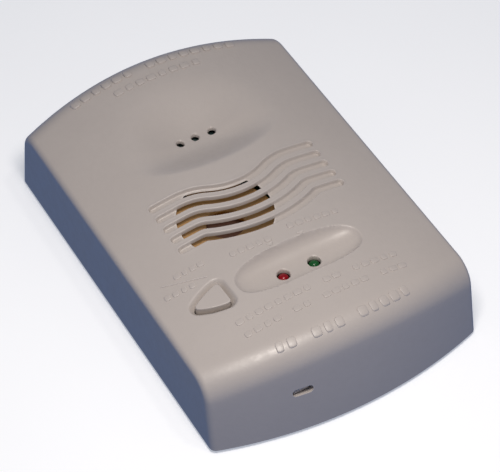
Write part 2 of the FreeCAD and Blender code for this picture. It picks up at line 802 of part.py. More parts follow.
# the barb thins towards -Y; the half turn swaps its x range, which the base puts back
barb = doc.addObject("Part::Wedge", "latch_barb")
bind(barb, Xmin=BARB_X0, Xmax=BARB_X1, Ymin=0.0, Ymax=3.3, Zmin=0.0, Zmax=1.95,
     X2min=BARB_X0, X2max=BARB_X1, Z2min=0.0, Z2max=1.1)
barb.Placement = Placement(Vector(0, 0, 0), Rotation(Vector(0, 0, 1), 180))
place(barb, BARB_X0 + BARB_X1, latch_y + 0.1, 13.65)
latch_tip = cyl_x("latch_tip", 0.9, *LATCH_X, latch_y, 17.2)
node("release_latch", fuse("release_latch_whole", [finger, foot, barb, latch_tip]))

# ================================================================ rear housing
tray_z0 = dim("tray_z0", 4.4)
tray_t = dim("tray_thickness", 1.7)
tray_half_width = dim("tray_half_width", 39.0)
tray_corner = dim("tray_corner_y", 53.6)
tray_half_length = dim("tray_half_length", 58.5)
tray_rim = dim("tray_rim_top", 9.6)
term_half_length = dim("terminal_half_length", 16.0)
term_y0 = dim("terminal_y0", -7.5)
term_y1 = dim("terminal_y1", 3.5)
TERM_GAP = 1.0           # window clearance round the terminal block
TRAY_CUT_DEPTH = 12.0

tray = new_body("rear_housing")
sk = sketch(tray, "tray_outline", tray_z0)
sk_outline(sk, tray_half_width, tray_corner, tray_half_length)
pad(tray, sk, "tray_floor", tray_t)
sk = sketch(tray, "tray_rim_outline", tray_z0)
sk_outline(sk, tray_half_width, tray_corner, tray_half_length)
sk_outline(sk, tray_half_width - 1.5, tray_corner - 1.6, tray_half_length - 1.8)
pad(tray, sk, "tray_rim", tray_rim - tray_z0)
rect_pocket(tray, "terminal_window", tray_z0 - 1, TRAY_CUT_DEPTH,
            -term_half_length - TERM_GAP, term_half_length + TERM_GAP,
            term_y0 - TERM_GAP, term_y1 + TERM_GAP)
rect_pocket(tray, "latch_notch", tray_z0 - 1, TRAY_CUT_DEPTH, -22.2, -9.8, -70.0, -52.6)
pcb_x = dim("pcb_screw_x", 26.6)
pcb_y = dim("pcb_screw_y", 46.0)
pcb_z = dim("pcb_z", 10.4)
posts = []
post_bores = []
for (i, x, y), (_, pillar_x, pillar_y) in zip(at_corners(boss_x, boss_y),
                                              at_corners(pcb_x, pcb_y)):
    posts.append(cyl(f"tray_post_{i}", 4.0, x, y, tray_z0, boss_z))
    post_bores.append(cyl(f"tray_post_bore_{i}", 1.6, x, y, 0.0, 12.0))
    post_bores.append(cyl(f"tray_counterbore_{i}", 3.0, x, y, 0.0, tray_z0 + 2.0))
    posts.append(cyl(f"pcb_pillar_{i}", 2.7, pillar_x, pillar_y, tray_z0, pcb_z))
    post_bores.append(cyl(f"pcb_pillar_bore_{i}", 1.1, pillar_x, pillar_y,
                          tray_z0 + 1.0, pcb_z + 1))
tray_solid = fuse("tray_solid", [tray] + posts)
node("rear_housing", cut("rear_housing_whole", tray_solid, group("tray_bores", post_bores)))

# ================================================================ housing screws
# pan head facing the wall, plain shank with a pointed tip
SCREW_SHANK_R = 1.28
SCREW_TIP_Z = 16.5
CROSS_LONG, CROSS_THIN = 1.5, 0.3    # half sizes of one bar of the cross
screws = []
for i, x, y in at_corners(boss_x, boss_y):
    blank = fuse(f"housing_screw_blank_{i}", [
        cyl(f"housing_screw_head_{i}", 2.75, x, y, tray_z0 + 0.3, tray_z0 + 2.0),
        cyl(f"housing_screw_shank_{i}", SCREW_SHANK_R, x, y, tray_z0 + 1.5, SCREW_TIP_Z),
        cone(f"housing_screw_tip_{i}", SCREW_SHANK_R, 0.3, x, y, SCREW_TIP_Z, 18.0)])
    bars = [box(f"housing_screw_cross_{letter}{i}", x - dx, x + dx, y - dy, y + dy,
                tray_z0 - 0.5, tray_z0 + 1.1)
            for letter, dx, dy in (("a", CROSS_LONG, CROSS_THIN), ("b", CROSS_THIN, CROSS_LONG))]
    screws.append(cut(f"housing_screw_{i}", blank, fuse(f"housing_screw_cross_{i}", bars)))
node("housing_screws", group("housing_screw_set", screws))

# ================================================================ circuit board
pcb_t = dim("pcb_thickness", 1.6)
pcb_half_width = dim("pcb_half_width", 30.4)
pcb_half_length = dim("pcb_half_length", 50.0)
board_top = pcb_z + pcb_t
BOARD_CUT_DEPTH = 5.0
TERM_PITCH = 5.2
TERM_X = [TERM_PITCH * (k - 2.5) for k in range(6)]
TERM_PIN_Y = -2.0
CELL_PINS = [(-6.0, 20.5), (6.0, 20.5), (0.0, 34.0)]  # x, y of the cell's pins
LEG_OFFSET = 1.27        # light centre to leg

board = new_body("main_pcb")
sk = sketch(board, "board_outline", pcb_z)
sk_rect(sk, -pcb_half_width, pcb_half_width, -pcb_half_length, pcb_half_length)
pad(board, sk, "board_pad", pcb_t)
sk = sketch(board, "board_screw_holes", pcb_z - 1)
for i, x, y in at_corners(pcb_x, pcb_y):
    sk_circle(sk, x, y, 1.6)
pocket(board, sk, BOARD_CUT_DEPTH)
sk = sketch(board, "board_pin_holes", pcb_z - 1)
for x in TERM_X:
    sk_circle(sk, x, TERM_PIN_Y, 0.55)
for x, y in CELL_PINS:
    sk_circle(sk, x, y, 0.6)
for side in SIDES:
    for leg in SIDES:
        sk_circle(sk, led_x * side + LEG_OFFSET * leg, led_y, 0.4)
pocket(board, sk, BOARD_CUT_DEPTH)
node("main_pcb", board)

pcb_screws = []
for i, x, y in at_corners(pcb_x, pcb_y):
    blank = fuse(f"pcb_screw_blank_{i}", [
        cyl(f"pcb_screw_head_{i}", 2.3, x, y, board_top, board_top + 1.5),
        cyl(f"pcb_screw_shank_{i}", 1.08, x, y, tray_z0 + 2.0, board_top + 0.5)])
    drive = box(f"pcb_screw_slot_{i}", x - 1.6, x + 1.6, y - 0.3, y + 0.3,
                board_top + 0.8, board_top + 3)
    pcb_screws.append(cut(f"pcb_screw_{i}", blank, drive))
node("pcb_screws", group("pcb_screw_set", pcb_screws))

# ================================================================ carbon monoxide cell
cell_r = dim("cell_radius", 9.6)
cell_top = dim("cell_can_top", 18.9)
fill_r = cell_r - 0.55   # radius of what fills the can
GASKET_R = 9.9
GASKET_T = 1.7


def cell_cyl(name, radius, z0, z1):
    """Cylinder on the cell's axis, behind the vents."""
    return cyl(name, radius, 0.0, vent_y, z0, z1)


def cell_pin_cyls(name, radius, z0, z1):
    return [cyl(f"{name}_{k}", radius, x, y, z0, z1) for k, (x, y) in enumerate(CELL_PINS)]


base_disc = cell_cyl("cell_base_disc", cell_r - 0.6, board_top, board_top + 1.0)
base_bores = fuse("cell_base_bores",
                  cell_pin_cyls("cell_base_bore", 0.5, board_top - 1, board_top + 3))
node("co_cell_base", cut("co_cell_base_disc", base_disc, base_bores))
can = cell_cyl("cell_can_outer", cell_r, board_top + 1.0, cell_top)
can_tools = fuse("co_cell_can_tools", [
    cell_cyl("cell_can_inner", cell_r - 0.5, board_top, cell_top - 0.6),
    cell_cyl("cell_can_inlet", 2.0, 10.0, 30.0)])
# only the can's outer top edge is wider than 15
node("co_cell_can", fillet("co_cell_can_round", cut("co_cell_can_raw", can, can_tools), 0.4,
                           lambda e: starts_at(cell_top)(e) and e.BoundBox.XLength > 15))
node("co_cell_electrode_stack",
     cell_cyl("cell_electrode", fill_r, board_top + 3.4, cell_top - 2.2))
node("co_cell_gas_filter", cell_cyl("cell_filter", fill_r, cell_top - 2.15, cell_top - 0.65))
node("co_cell_pins", group("co_cell_pin_set",
                           cell_pin_cyls("cell_pin", 0.45, pcb_z - 1.5, board_top + 3.35)))
node("sensor_gasket", tube("sensor_gasket_ring", GASKET_R, 7.4, 0.0, vent_y,
                           cell_top, cell_top + GASKET_T))
node("insect_screen", cell_cyl("insect_screen_disc", GASKET_R,
                               cell_top + GASKET_T, cell_top + 2.0))

# ================================================================ sounder
# behind the open part of the grille
sounder_x, sounder_y = grille_zone_x, grille_zone_y
sounder_r = dim("sounder_radius", 15.2)
sounder_top = dim("sounder_top", 25.0)
seat_top = board_top + 4.0
brass_top = board_top + 4.2
LEAD_R = 0.4
# offset from the sounder's axis (x outwards from the pair's middle, y), z above the board
LEAD_PATH = [(1.2, -5.0, 3.1), (1.3, -9.0, 2.3), (1.4, -13.5, 1.8), (1.5, -16.8, 1.6),
             (1.5, -18.4, 0.75)]


def sounder_cyl(name, radius, z0, z1):
    return cyl(name, radius, sounder_x, sounder_y, z0, z1)


def lead(name, side):
    """A lead: round section swept through the path's points."""
    points = [Vector(sounder_x.value + side * x, sounder_y.value + y, board_top.value + z)
              for x, y, z in LEAD_PATH]
    curve = Part.BSplineCurve()
    curve.interpolate(points)
    path = Part.Wire([curve.toShape()])
    start = curve.tangent(curve.FirstParameter)[0]
    section = Part.Wire([Part.Circle(points[0], start, LEAD_R).toShape()])
    return feature(name, path.makePipeShell([section], True, True))


seat = tube("sounder_seat", sounder_r - 0.6, 12.6, sounder_x, sounder_y, board_top, seat_top)
lead_gate = box("sounder_lead_gate", sounder_x - 3.0, sounder_x + 3.0,
                sounder_y - 18.0, sounder_y - 8.0, board_top + 0.8, board_top + 6.0)
node("sounder_base", cut("sounder_base_ring", seat, lead_gate))
node("piezo_disc", sounder_cyl("piezo_brass", sounder_r - 1.7, seat_top, brass_top))
node("piezo_ceramic", sounder_cyl("piezo_element", 9.5, brass_top, board_top + 4.45))
cup = sounder_cyl("resonator_outer", sounder_r, board_top + 2.4, sounder_top)
cup_tools = fuse("resonator_tools", [
    sounder_cyl("resonator_inner", sounder_r - 1.6, seat_top, sounder_top - 1.4),
    sounder_cyl("resonator_foot_bore", sounder_r - 0.55, 0.0, seat_top),
    sounder_cyl("resonator_hole", 5.45, 0.0, 40.0)])
node("sounder_resonator", fillet("sounder_resonator_round",
                                 cut("sounder_resonator_raw", cup, cup_tools),
                                 0.5, starts_at(sounder_top)))
node("piezo_leads", group("piezo_lead_pair", [lead("piezo_lead_a", -1), lead("piezo_lead_b", 1)]))

# ================================================================ indicator lights
led_r = dim("led_radius", 1.6)
led_tip = dim("led_tip_z", 25.6)
led_foot = led_tip - 5.2
for label, side in (("led_alarm_lens", -1), ("led_normal_lens", 1)):
    x = led_x * side
    flange = cyl(label + "_flange", 2.0, x, led_y, led_foot, led_tip - 4.4)
    stem = cyl(label + "_stem", led_r, x, led_y, led_tip - 4.8, led_tip - led_r)
    dome = doc.addObject("Part::Sphere", label + "_dome")
    bind(dome, Radius=led_r)
    place(dome, x, led_y, led_tip - led_r)
    node(label, fuse(label + "_whole", [flange, stem, dome]))
spacers = []
legs = []
for side in SIDES:
    x = led_x * side
    blank = cyl(f"led_spacer_body_{side}", 2.3, x, led_y, board_top, led_foot)
    bores = fuse(f"led_spacer_bores_{side}", [
        cyl(f"led_spacer_bore_{side}_{leg}", 0.45, x + LEG_OFFSET * leg, led_y, 5.0, 30.0)
        for leg in SIDES])
    spacers.append(cut(f"led_spacer_{side}", blank, bores))
    for leg in SIDES:
        legs.append(cyl(f"led_leg_{side}_{leg}", 0.3, x + LEG_OFFSET * leg, led_y,
                        pcb_z - 1.4, led_foot))
node("led_spacers", group("led_spacer_pair", spacers))
node("led_legs", group("led_leg_set", legs))

# ================================================================ test button
switch_x = dim("switch_x", -25.9)
switch_y = dim("switch_y", -31.4)
button_z0 = dim("button_flange_z", 21.6)
button_flange_t = dim("button_flange_thickness", 1.4)
plunger_top = dim("plunger_top", 16.3)
button_cap = prism(button_outline(0.0, button_z0.value + 0.4), 12)
# the cap's top follows the crown of the cover
cap_top = Vector(button_centre.x, button_centre.y, face_z - 0.02)
top_cut = Part.makeBox(40, 40, 20, Vector(-20, -20, 0))
top_cut.translate(cap_top)
top_cut.rotate(cap_top, Vector(0, 1, 0), face_slope)
button_cap = button_cap.cut(top_cut)
cap_rim = [e for e in button_cap.Edges if e.BoundBox.ZMin > button_z0.value + 2]
button_cap = button_cap.makeFillet(0.3, cap_rim)
flange = prism(button_outline(1.5, button_z0.value), button_flange_t.value)
cap_shape = feature("button_cap_shape", button_cap.fuse(flange))
stem = cyl("button_stem", 1.5, switch_x, switch_y, plunger_top + 0.02, button_z0 + 0.5)
web = box("button_web_a", switch_x - 3.2, switch_x + 2.6, switch_y - 0.5, switch_y + 0.5,
          plunger_top + 2.2, button_z0 + 0.5)
node("test_button", fuse("test_button_whole", [cap_shape, stem, web]))

# ================================================================ switch under the button
SWITCH_HALF = 3.0
LEG_LENGTH = 0.9
contact_z = board_top + 1.6
switch_block = rounded_block("tact_switch_blank", switch_x - SWITCH_HALF, switch_x + SWITCH_HALF,
                             switch_y - SWITCH_HALF, switch_y + SWITCH_HALF,
                             board_top, board_top + 3.5, 0.4)
switch_well = cyl("tact_switch_well", 1.78, switch_x, switch_y, contact_z, board_top + 6.0)
stakes = [cyl(f"tact_switch_stake_{i}", 0.35, switch_x + dx, switch_y + dy,
              board_top + 3.4, board_top + 3.75) for i, dx, dy in at_corners(2.1, 2.1)]
node("tact_switch_body", cut("tact_switch_body_whole",
                             fuse("tact_switch_staked", [switch_block] + stakes), switch_well))
plunger = cyl("plunger_post", 1.7, switch_x, switch_y, board_top + 2.3, plunger_top)
node("tact_switch_plunger", fillet("plunger_round", plunger, 0.25, starts_at(plunger_top)))
node("tact_switch_contact",
     cyl("contact_disc", 1.7, switch_x, switch_y, contact_z, board_top + 1.75))
switch_legs = []
for i, side, dy in at_corners(1, 2.25):
    x0 = switch_x + (SWITCH_HALF if side > 0 else -SWITCH_HALF - LEG_LENGTH)
    switch_legs.append(box(f"switch_leg_{i}", x0, x0 + LEG_LENGTH, switch_y + dy - 0.35,
                           switch_y + dy + 0.35, board_top, board_top + 1.2))
node("tact_switch_legs", group("tact_switch_leg_set", switch_legs))

# ================================================================ field wiring terminals
TERM_Z0 = 3.3
TERM_SCREW_Y = -0.2
terminal = new_body("terminal_block")
sk = sketch(terminal, "terminal_outline", TERM_Z0)
sk_rect(sk, -term_half_length, term_half_length, term_y0, term_y1)
pad(terminal, sk, "terminal_pad", pcb_z - TERM_Z0)
sk = sketch(terminal, "terminal_screw_wells", TERM_Z0)
for x in TERM_X:
    sk_circle(sk, x, TERM_SCREW_Y, 1.95)
pocket(terminal, sk, 4.6)
entries = []
pin_bores = []
term_screws = []
clamps = []
pins = []
for k, x in enumerate(TERM_X):
    entries.append(box(f"terminal_entry_{k}", x - 1.9, x + 1.9, term_y0 - 1.0, 1.6, 5.4, 9.2))
    pin_bores.append(cyl(f"terminal_pin_bore_{k}", 0.5, x, TERM_PIN_Y, 8.0, pcb_z + 1))
    blank = fuse(f"terminal_screw_blank_{k}", [
        cyl(f"terminal_screw_head_{k}", 1.85, x, TERM_SCREW_Y, 3.5, 5.0),
        cyl(f"terminal_screw_shank_{k}", 1.0, x, TERM_SCREW_Y, 4.5, 7.3)])
    drive = box(f"terminal_screw_slot_{k}", x - 1.9, x + 1.9,
                TERM_SCREW_Y - 0.3, TERM_SCREW_Y + 0.3, 3.0, 4.0)
    term_screws.append(cut(f"terminal_screw_{k}", blank, drive))
    clamps.append(cut(
        f"terminal_clamp_{k}",
        box(f"terminal_clamp_box_{k}", x - 1.8, x + 1.8, -3.2, 1.5, 7.35, 9.1),
        box(f"terminal_clamp_window_{k}", x - 1.3, x + 1.3, -4.0, 2.0, 7.8, 8.7)))
    pins.append(cyl(f"terminal_pin_{k}", 0.42, x, TERM_PIN_Y, 9.15, board_top - 0.1))
node("terminal_block", cut("terminal_block_whole", terminal,
                           group("terminal_tools", entries + pin_bores)))
node("terminal_screws", group("terminal_screw_set", term_screws))
node("terminal_clamps", group("terminal_clamp_set", clamps))
node("terminal_pins", group("terminal_pin_set", pins))

# ================================================================ relays
RELAY_X, RELAY_LENGTH, RELAY_WIDTH = 12.4, 15.2, 10.2
RELAY_LIFT = 0.4
RELAYS = [("alarm_relay", -18.6), ("trouble_relay", -5.6)]  # label, lower y
RELAY_FEET = [(1.5, 1.6), (1.5, 8.6), (7.6, 1.6), (13.4, 1.6), (13.4, 8.6)]  # from case corner
relay_feet = []
for j, (label, y0) in enumerate(RELAYS):
    node(label, rounded_block(label + "_case", RELAY_X, RELAY_X + RELAY_LENGTH,
                              y0, y0 + RELAY_WIDTH, board_top + RELAY_LIFT,
                              board_top + 11.0, 0.8))
    for k, (dx, dy) in enumerate(RELAY_FEET):
        relay_feet.append(cyl(f"relay_pin_{j}_{k}", 0.4, RELAY_X + dx, y0 + dy,
                              board_top, board_top + RELAY_LIFT))
node("relay_feet", group("relay_foot_set", relay_feet))

# ================================================================ microcontroller
MCU_X, MCU_Y, MCU_HALF = 17.5, 15.0, 4.0
MCU_PIN_PITCH, MCU_PIN_HALF, MCU_PIN_LENGTH = 0.9, 0.18, 1.0
node("microcontroller", rounded_block("microcontroller_case", MCU_X - MCU_HALF, MCU_X + MCU_HALF,
                                      MCU_Y - MCU_HALF, MCU_Y + MCU_HALF,
                                      board_top + 0.25, board_top + 1.45, 0.3))
mcu_pins = []
for k in range(8):
    along = MCU_PIN_PITCH * (k - 3.5)
    row = (along - MCU_PIN_HALF, along + MCU_PIN_HALF)
    for side in SIDES:
        out = sorted((side * MCU_HALF, side * (MCU_HALF + MCU_PIN_LENGTH)))
        for letter, (dx0, dx1), (dy0, dy1) in (("x", out, row), ("y", row, out)):
            mcu_pins.append(box(f"mcu_pin_{letter}{k}_{side}", MCU_X + dx0, MCU_X + dx1,
                                MCU_Y + dy0, MCU_Y + dy1, board_top, board_top + 0.5))
node("microcontroller_pins", group("microcontroller_pin_set", mcu_pins))

# ================================================================ capacitor
CAP_X, CAP_Y = 23.0, 33.5
cap_z1 = board_top + 11.5
cap_can = cyl("capacitor_can", 5.0, CAP_X, CAP_Y, board_top + 0.3, cap_z1)
cap_groove = doc.addObject("Part::Torus", "capacitor_groove")
bind(cap_groove, Radius1=5.15, Radius2=0.55)
place(cap_groove, CAP_X, CAP_Y, board_top + 1.9)
node("bulk_capacitor", fillet("bulk_capacitor_round",
                              cut("bulk_capacitor_raw", cap_can, cap_groove),
                              0.5, starts_at(cap_z1)))

# ================================================================ coil
COIL_X, COIL_Y = -22.5, 14.5
COIL_FLANGE_R = 4.4
# name, radius, z range above the board
COIL_CORE = [("foot", COIL_FLANGE_R, 0.0, 1.0), ("stem", 2.2, 0.5, 6.5),
             ("head", COIL_FLANGE_R, 6.0, 7.0)]
node("boost_coil_core", fuse("coil_core_whole", [
    cyl("coil_core_" + name, radius, COIL_X, COIL_Y, board_top + z0, board_top + z1)
    for name, radius, z0, z1 in COIL_CORE]))
node("boost_coil_winding", tube("boost_coil_wind", 4.0, 2.25, COIL_X, COIL_Y,
                                board_top + 1.0, board_top + 6.0))

# ================================================================ surge suppressor
suppressor = box("surge_suppressor_disc", -27.5, -17.5, 31.0, 34.0,
                 board_top + 0.2, board_top + 9.5)
node("surge_suppressor", fillet("surge_suppressor_round", suppressor, 1.2, lambda e: True))

# ================================================================ chip parts
CHIP_LONG, CHIP_SHORT, CHIP_HEIGHT = 1.6, 0.9, 0.6
# centre x, centre y, axis of the long side
CHIPS = [
    (10.0, -42.0, "x"), (14.0, -42.0, "x"), (18.0, -42.0, "x"), (22.0, -42.0, "x"),
    (12.0, -25.0, "y"), (15.0, -25.0, "y"), (18.0, -25.0, "y"),
    (26.0, 14.0, "y"), (28.0, 14.0, "y"), (12.0, 24.0, "x"), (16.0, 24.0, "x"),
    (-14.0, 40.0, "x"), (-10.0, 40.0, "x"), (10.0, 42.0, "y"), (14.0, 42.0, "y"),
    (-14.0, -42.0, "x"), (-10.0, -42.0, "x"), (-18.0, -24.6, "x"),
]
chips = []
for k, (x, y, axis) in enumerate(CHIPS):
    dx, dy = CHIP_LONG / 2, CHIP_SHORT / 2
    if axis == "y":
        dx, dy = dy, dx
    chips.append(box(f"chip_{k}", x - dx, x + dx, y - dy, y + dy,
                     board_top, board_top + CHIP_HEIGHT))
node("chip_parts", group("chip_part_set", chips))

# ---------------------------------------------------------------- checks, then the files
doc.recompute()
bad = [o.Name for o in doc.Objects if any(word in o.State for word in ("Invalid", "Error"))]
if bad:
    raise RuntimeError(f"failed objects: {bad}")
for label, obj in NODES.items():
    if obj.Shape.isNull() or not obj.Shape.isValid() or not obj.Shape.Solids:
        raise RuntimeError("bad shape: " + label)
os.makedirs("parts", exist_ok=True)
for label, obj in NODES.items():
    obj.Shape.exportStep(os.path.join("parts", label + ".step"))
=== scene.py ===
"""A wall alarm lying on its back on a pale floor.

The loaded CAD pieces get materials, and the front cover is replaced by a detailed one: a crowned
face with a dish, a wavy grille, a light recess and a three-sided test button opening.
X runs across the cover, Y along it and Z up out of its face, with the back of the alarm at z = 0.
Shapes are worked out in millimetres and turned into metres when their meshes are made.
"""
import bpy
import bmesh
import json
import math
import numpy as np
from mathutils import Matrix, Vector
from types import SimpleNamespace as Sizes

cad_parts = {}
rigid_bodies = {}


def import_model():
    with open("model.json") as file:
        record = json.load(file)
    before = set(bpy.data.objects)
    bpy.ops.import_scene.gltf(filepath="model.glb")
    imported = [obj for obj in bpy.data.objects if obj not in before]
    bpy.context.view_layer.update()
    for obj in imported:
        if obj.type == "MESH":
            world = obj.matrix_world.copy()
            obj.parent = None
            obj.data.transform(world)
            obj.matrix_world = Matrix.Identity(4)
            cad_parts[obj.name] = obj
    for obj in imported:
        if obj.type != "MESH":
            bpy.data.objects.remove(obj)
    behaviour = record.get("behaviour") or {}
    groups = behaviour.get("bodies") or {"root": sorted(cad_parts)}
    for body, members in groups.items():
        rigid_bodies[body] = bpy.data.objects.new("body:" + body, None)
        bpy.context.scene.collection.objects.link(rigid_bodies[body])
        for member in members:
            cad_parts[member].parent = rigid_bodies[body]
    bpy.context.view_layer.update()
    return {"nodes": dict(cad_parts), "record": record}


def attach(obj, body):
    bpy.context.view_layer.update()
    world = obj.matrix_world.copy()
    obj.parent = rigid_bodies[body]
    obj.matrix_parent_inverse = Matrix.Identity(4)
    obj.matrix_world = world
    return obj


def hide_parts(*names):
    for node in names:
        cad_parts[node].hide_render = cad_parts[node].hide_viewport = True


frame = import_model()


# ------------------------------------------------------------------ sizes, mm
MM = 0.001                          # metres in a millimetre
HALF_WIDTH = 41.9
HALF_LENGTH = 64.75
DEPTH = 30.0                        # height of the face on its middle line
CROWN = 5.8                         # fall of the face from the middle line to the sides
END_BOW = 132.3                     # plan radius of the two ends
SIDE_DRAFT = math.radians(1.24)
END_DRAFT = math.radians(8.68)
SIDE_SLOPE = math.tan(SIDE_DRAFT)
END_SLOPE = math.tan(END_DRAFT)
END_ROLL = 8.0                      # radius between face and end walls
SIDE_ROLL = 2.1                     # radius between face and side walls
BASE_Z = 1.0                        # bottom rim of the cover
WALL = 2.0

# hollow in the +Y half; its reach differs toward -Y and +Y
DISH = Sizes(y=25.0, half_width=26.5, reach_low=14.6, reach_high=26.0, depth=5.6)
# Wavy grooves, counted from the highest in Y. Each dips at x = 0 and crests at +-crest_x.
GRILLE = Sizes(count=5, half_width=24.8, top=5.2, dip=4.5, pitch=4.3,
               crest_x=18.0, crest_radius=19.1, dip_radius=19.15,
               half_groove=1.25, half_slot=1.2, depth=1.22)
# circle within which the grooves are cut right through
OPEN_ZONE = Sizes(x=-8.7, y=-6.9, radius=13.7)
# the first groove's slot is narrower and lies off the groove line
FIRST_SLOT = Sizes(offset=0.475, half_width=0.725)
LIGHTS = Sizes(centres=[(-4.8, -32.0), (4.8, -32.0)], radius=1.9, rim=0.25)
VENTS = Sizes(centres=[(-5.1, 26.2), (0.0, 26.75), (5.1, 26.2)], radius=1.2, rim=0.35)
VENT_RING_Y = 26.0                  # centre of the thin skin and the tube round the vents
# blunt-ended bowl round the lights; power shapes its plan, wall_power its section
RECESS = Sizes(x=0.35, y=-31.4, half_length=19.3, half_width=6.6, power=2.65, depth=4.15,
               wall_power=0.56, above=0.5, outer_slope=8)
# rounded slot through the -Y end wall
RELEASE = Sizes(x0=-18.9, x1=-12.9, z0=13.5, z1=15.9, radius=1.1)
# test button outline: corners, outward bow of each side, and a point near its middle
BUTTON_CORNERS = [(-22.55, -27.3), (-32.0, -31.1), (-22.3, -34.95)]
BUTTON_BULGE = [0.55, 0.75, 0.05]
BUTTON_CENTRE = np.array([-26.2, -31.4])
# clearance, outer reach and depth of the sloping surround, and corner radius
BUTTON = Sizes(gap=0.3, reach=1.88, depth=1.9, corner=0.9)


# ------------------------------------------------------------------ shaping helpers
def smooth_step(t):
    t = np.clip(t, 0.0, 1.0)
    return t * t * (3 - 2 * t)


def within(distance, edge, fade):
    """1 well inside the edge, 0 beyond it, over a soft band."""
    return smooth_step((edge - distance) / fade)


def smooth_min(a, b, radius):
    h = np.clip(0.5 + 0.5 * (b - a) / radius, 0, 1)
    return b * (1 - h) + a * h - radius * h * (1 - h)


def crown_z(x):
    return DEPTH - CROWN * (np.asarray(x) / HALF_WIDTH) ** 2


def dish_depth(x, y):
    dy = y - DISH.y
    reach = np.where(dy < 0, DISH.reach_low, DISH.reach_high)
    square = (x / DISH.half_width) ** 2 + (dy / reach) ** 2
    toward_y = (dy / reach) / np.sqrt(np.maximum(square, 1e-12))
    # the hollow starts sharply on the -Y side and softly on the +Y side
    power = 1.5 + 1.5 * smooth_step(toward_y + 0.8)
    return np.where(square < 1.0, DISH.depth * np.maximum(1 - square, 0.0) ** power, 0.0)


def end_profile(x, inset=0.0):
    """Face height, end wall y at z = 0, and radius and centre (y, z) of the end roll."""
    top = crown_z(x) - inset
    sag = END_BOW - np.sqrt(END_BOW * END_BOW - x * x)
    wall_y = HALF_LENGTH - sag - inset / math.cos(END_DRAFT)
    radius = END_ROLL - inset
    tangent = radius * math.tan(END_TURN / 2)
    return top, wall_y, radius, wall_y - top * END_SLOPE - tangent, top - radius


END_TURN = math.pi / 2 - END_DRAFT  # angle the end roll turns through


# ------------------------------------------------------------------ grille
def wave_y(line, x):
    """y at x of a grille line; 0 to 4 are the grooves, fractions lie between them."""
    line = np.asarray(line, float)
    x = np.abs(np.asarray(x, float))
    crest_radius = np.maximum(GRILLE.crest_radius - line * GRILLE.pitch, 0.15)
    dip_radius = GRILLE.dip_radius + line * GRILLE.pitch
    turn = np.arcsin(np.clip(GRILLE.crest_x / (crest_radius + dip_radius), 0, 1))
    flat = GRILLE.top - line * GRILLE.pitch
    crest_centre = GRILLE.top - GRILLE.crest_radius
    dip_centre = GRILLE.top - GRILLE.dip + GRILLE.dip_radius
    from_crest = np.minimum(np.abs(GRILLE.crest_x - x), crest_radius)
    on_crest = crest_centre + np.sqrt(np.maximum(crest_radius ** 2 - from_crest ** 2, 0))
    on_dip = dip_centre - np.sqrt(np.maximum(dip_radius ** 2 - np.minimum(x, dip_radius) ** 2, 0))
    y = np.where(x < dip_radius * np.sin(turn), on_dip, on_crest)
    return np.where(x > GRILLE.crest_x, flat, y)


LINE_X = np.linspace(-GRILLE.half_width, GRILLE.half_width, 260)
GROOVE_LINES = [np.stack([LINE_X, wave_y(i, LINE_X)], 1) for i in range(GRILLE.count)]
CHUNK = 20000                       # points measured at a time, to limit memory


def line_distance(points, line):
    """Distance from each point to a polyline, and the side it is on (+ above)."""
    best = np.full(len(points), 1e9)
    side = np.zeros(len(points))
    start = line[:-1]
    step = line[1:] - start
    square = (step ** 2).sum(1)
    for k in range(0, len(points), CHUNK):
        part = points[k:k + CHUNK]
        offset = part[:, None, :] - start[None]
        along = np.clip((offset * step[None]).sum(2) / square[None], 0, 1)
        across = offset - along[..., None] * step[None]
        distance = np.sqrt((across ** 2).sum(2))
        nearest = distance.argmin(1)
        rows = np.arange(len(part))
        best[k:k + CHUNK] = distance[rows, nearest]
        gap = across[rows, nearest]
        side[k:k + CHUNK] = np.sign(step[nearest, 0] * gap[:, 1] - step[nearest, 1] * gap[:, 0])
    return best, side


def groove_field(x, y):
    """Distance to the nearest groove line, the side of it, and its number."""
    points = np.stack([x, y], 1)
    best = np.full(len(points), 99.0)
    side = np.zeros(len(points))
    which = np.full(len(points), -1)
    margin = 3
    bottom = GRILLE.top - (GRILLE.count - 1) * GRILLE.pitch - GRILLE.dip - margin
    near = (np.abs(x) < GRILLE.half_width + margin) & (y < GRILLE.top + margin) & (y > bottom)
    near = np.nonzero(near)[0]
    for i, line in enumerate(GROOVE_LINES):
        distance, line_side = line_distance(points[near], line)
        better = distance < best[near]
        best[near[better]] = distance[better]
        side[near[better]] = line_side[better]
        which[near[better]] = i
    return best, side, which


def groove_drop(distance):
    """Section of a groove: soft raised rims, steep walls and a rounded floor."""
    half = GRILLE.half_groove
    wall = within(distance, edge=half + 0.10, fade=0.42)
    lip = 0.10 * np.exp(-((distance - half - 0.30) / 0.2) ** 2)
    rounding = 1 - 0.13 * np.clip(distance / (half - 0.25), 0, 1) ** 3
    return GRILLE.depth * wall * rounding - lip


# ------------------------------------------------------------------ button opening
def button_side(k):
    """Centre and radius of side k of the outline, moved in by the corner radius."""
    start = np.array(BUTTON_CORNERS[k], float)
    end = np.array(BUTTON_CORNERS[(k + 1) % 3], float)
    bulge = BUTTON_BULGE[k]
    middle = (start + end) / 2
    chord = end - start
    length = np.hypot(*chord)
    outward = np.array([chord[1], -chord[0]]) / length
    if np.dot(outward, middle - BUTTON_CENTRE) < 0:
        outward = -outward
    radius = (length * length / 4 + bulge * bulge) / (2 * bulge)
    return middle - outward * (radius - bulge), radius - BUTTON.corner


def circle_meeting(first, second, near):
    """The crossing of two circles that lies nearest a point."""
    (centre0, radius0), (centre1, radius1) = first, second
    apart = np.hypot(*(centre1 - centre0))
    along = (radius0 * radius0 - radius1 * radius1 + apart * apart) / (2 * apart)
    height = math.sqrt(max(radius0 * radius0 - along * along, 0))
    axis = (centre1 - centre0) / apart
    foot = centre0 + axis * along
    across = np.array([-axis[1], axis[0]])
    return min([foot + height * across, foot - height * across],
               key=lambda point: np.hypot(*(point - near)))


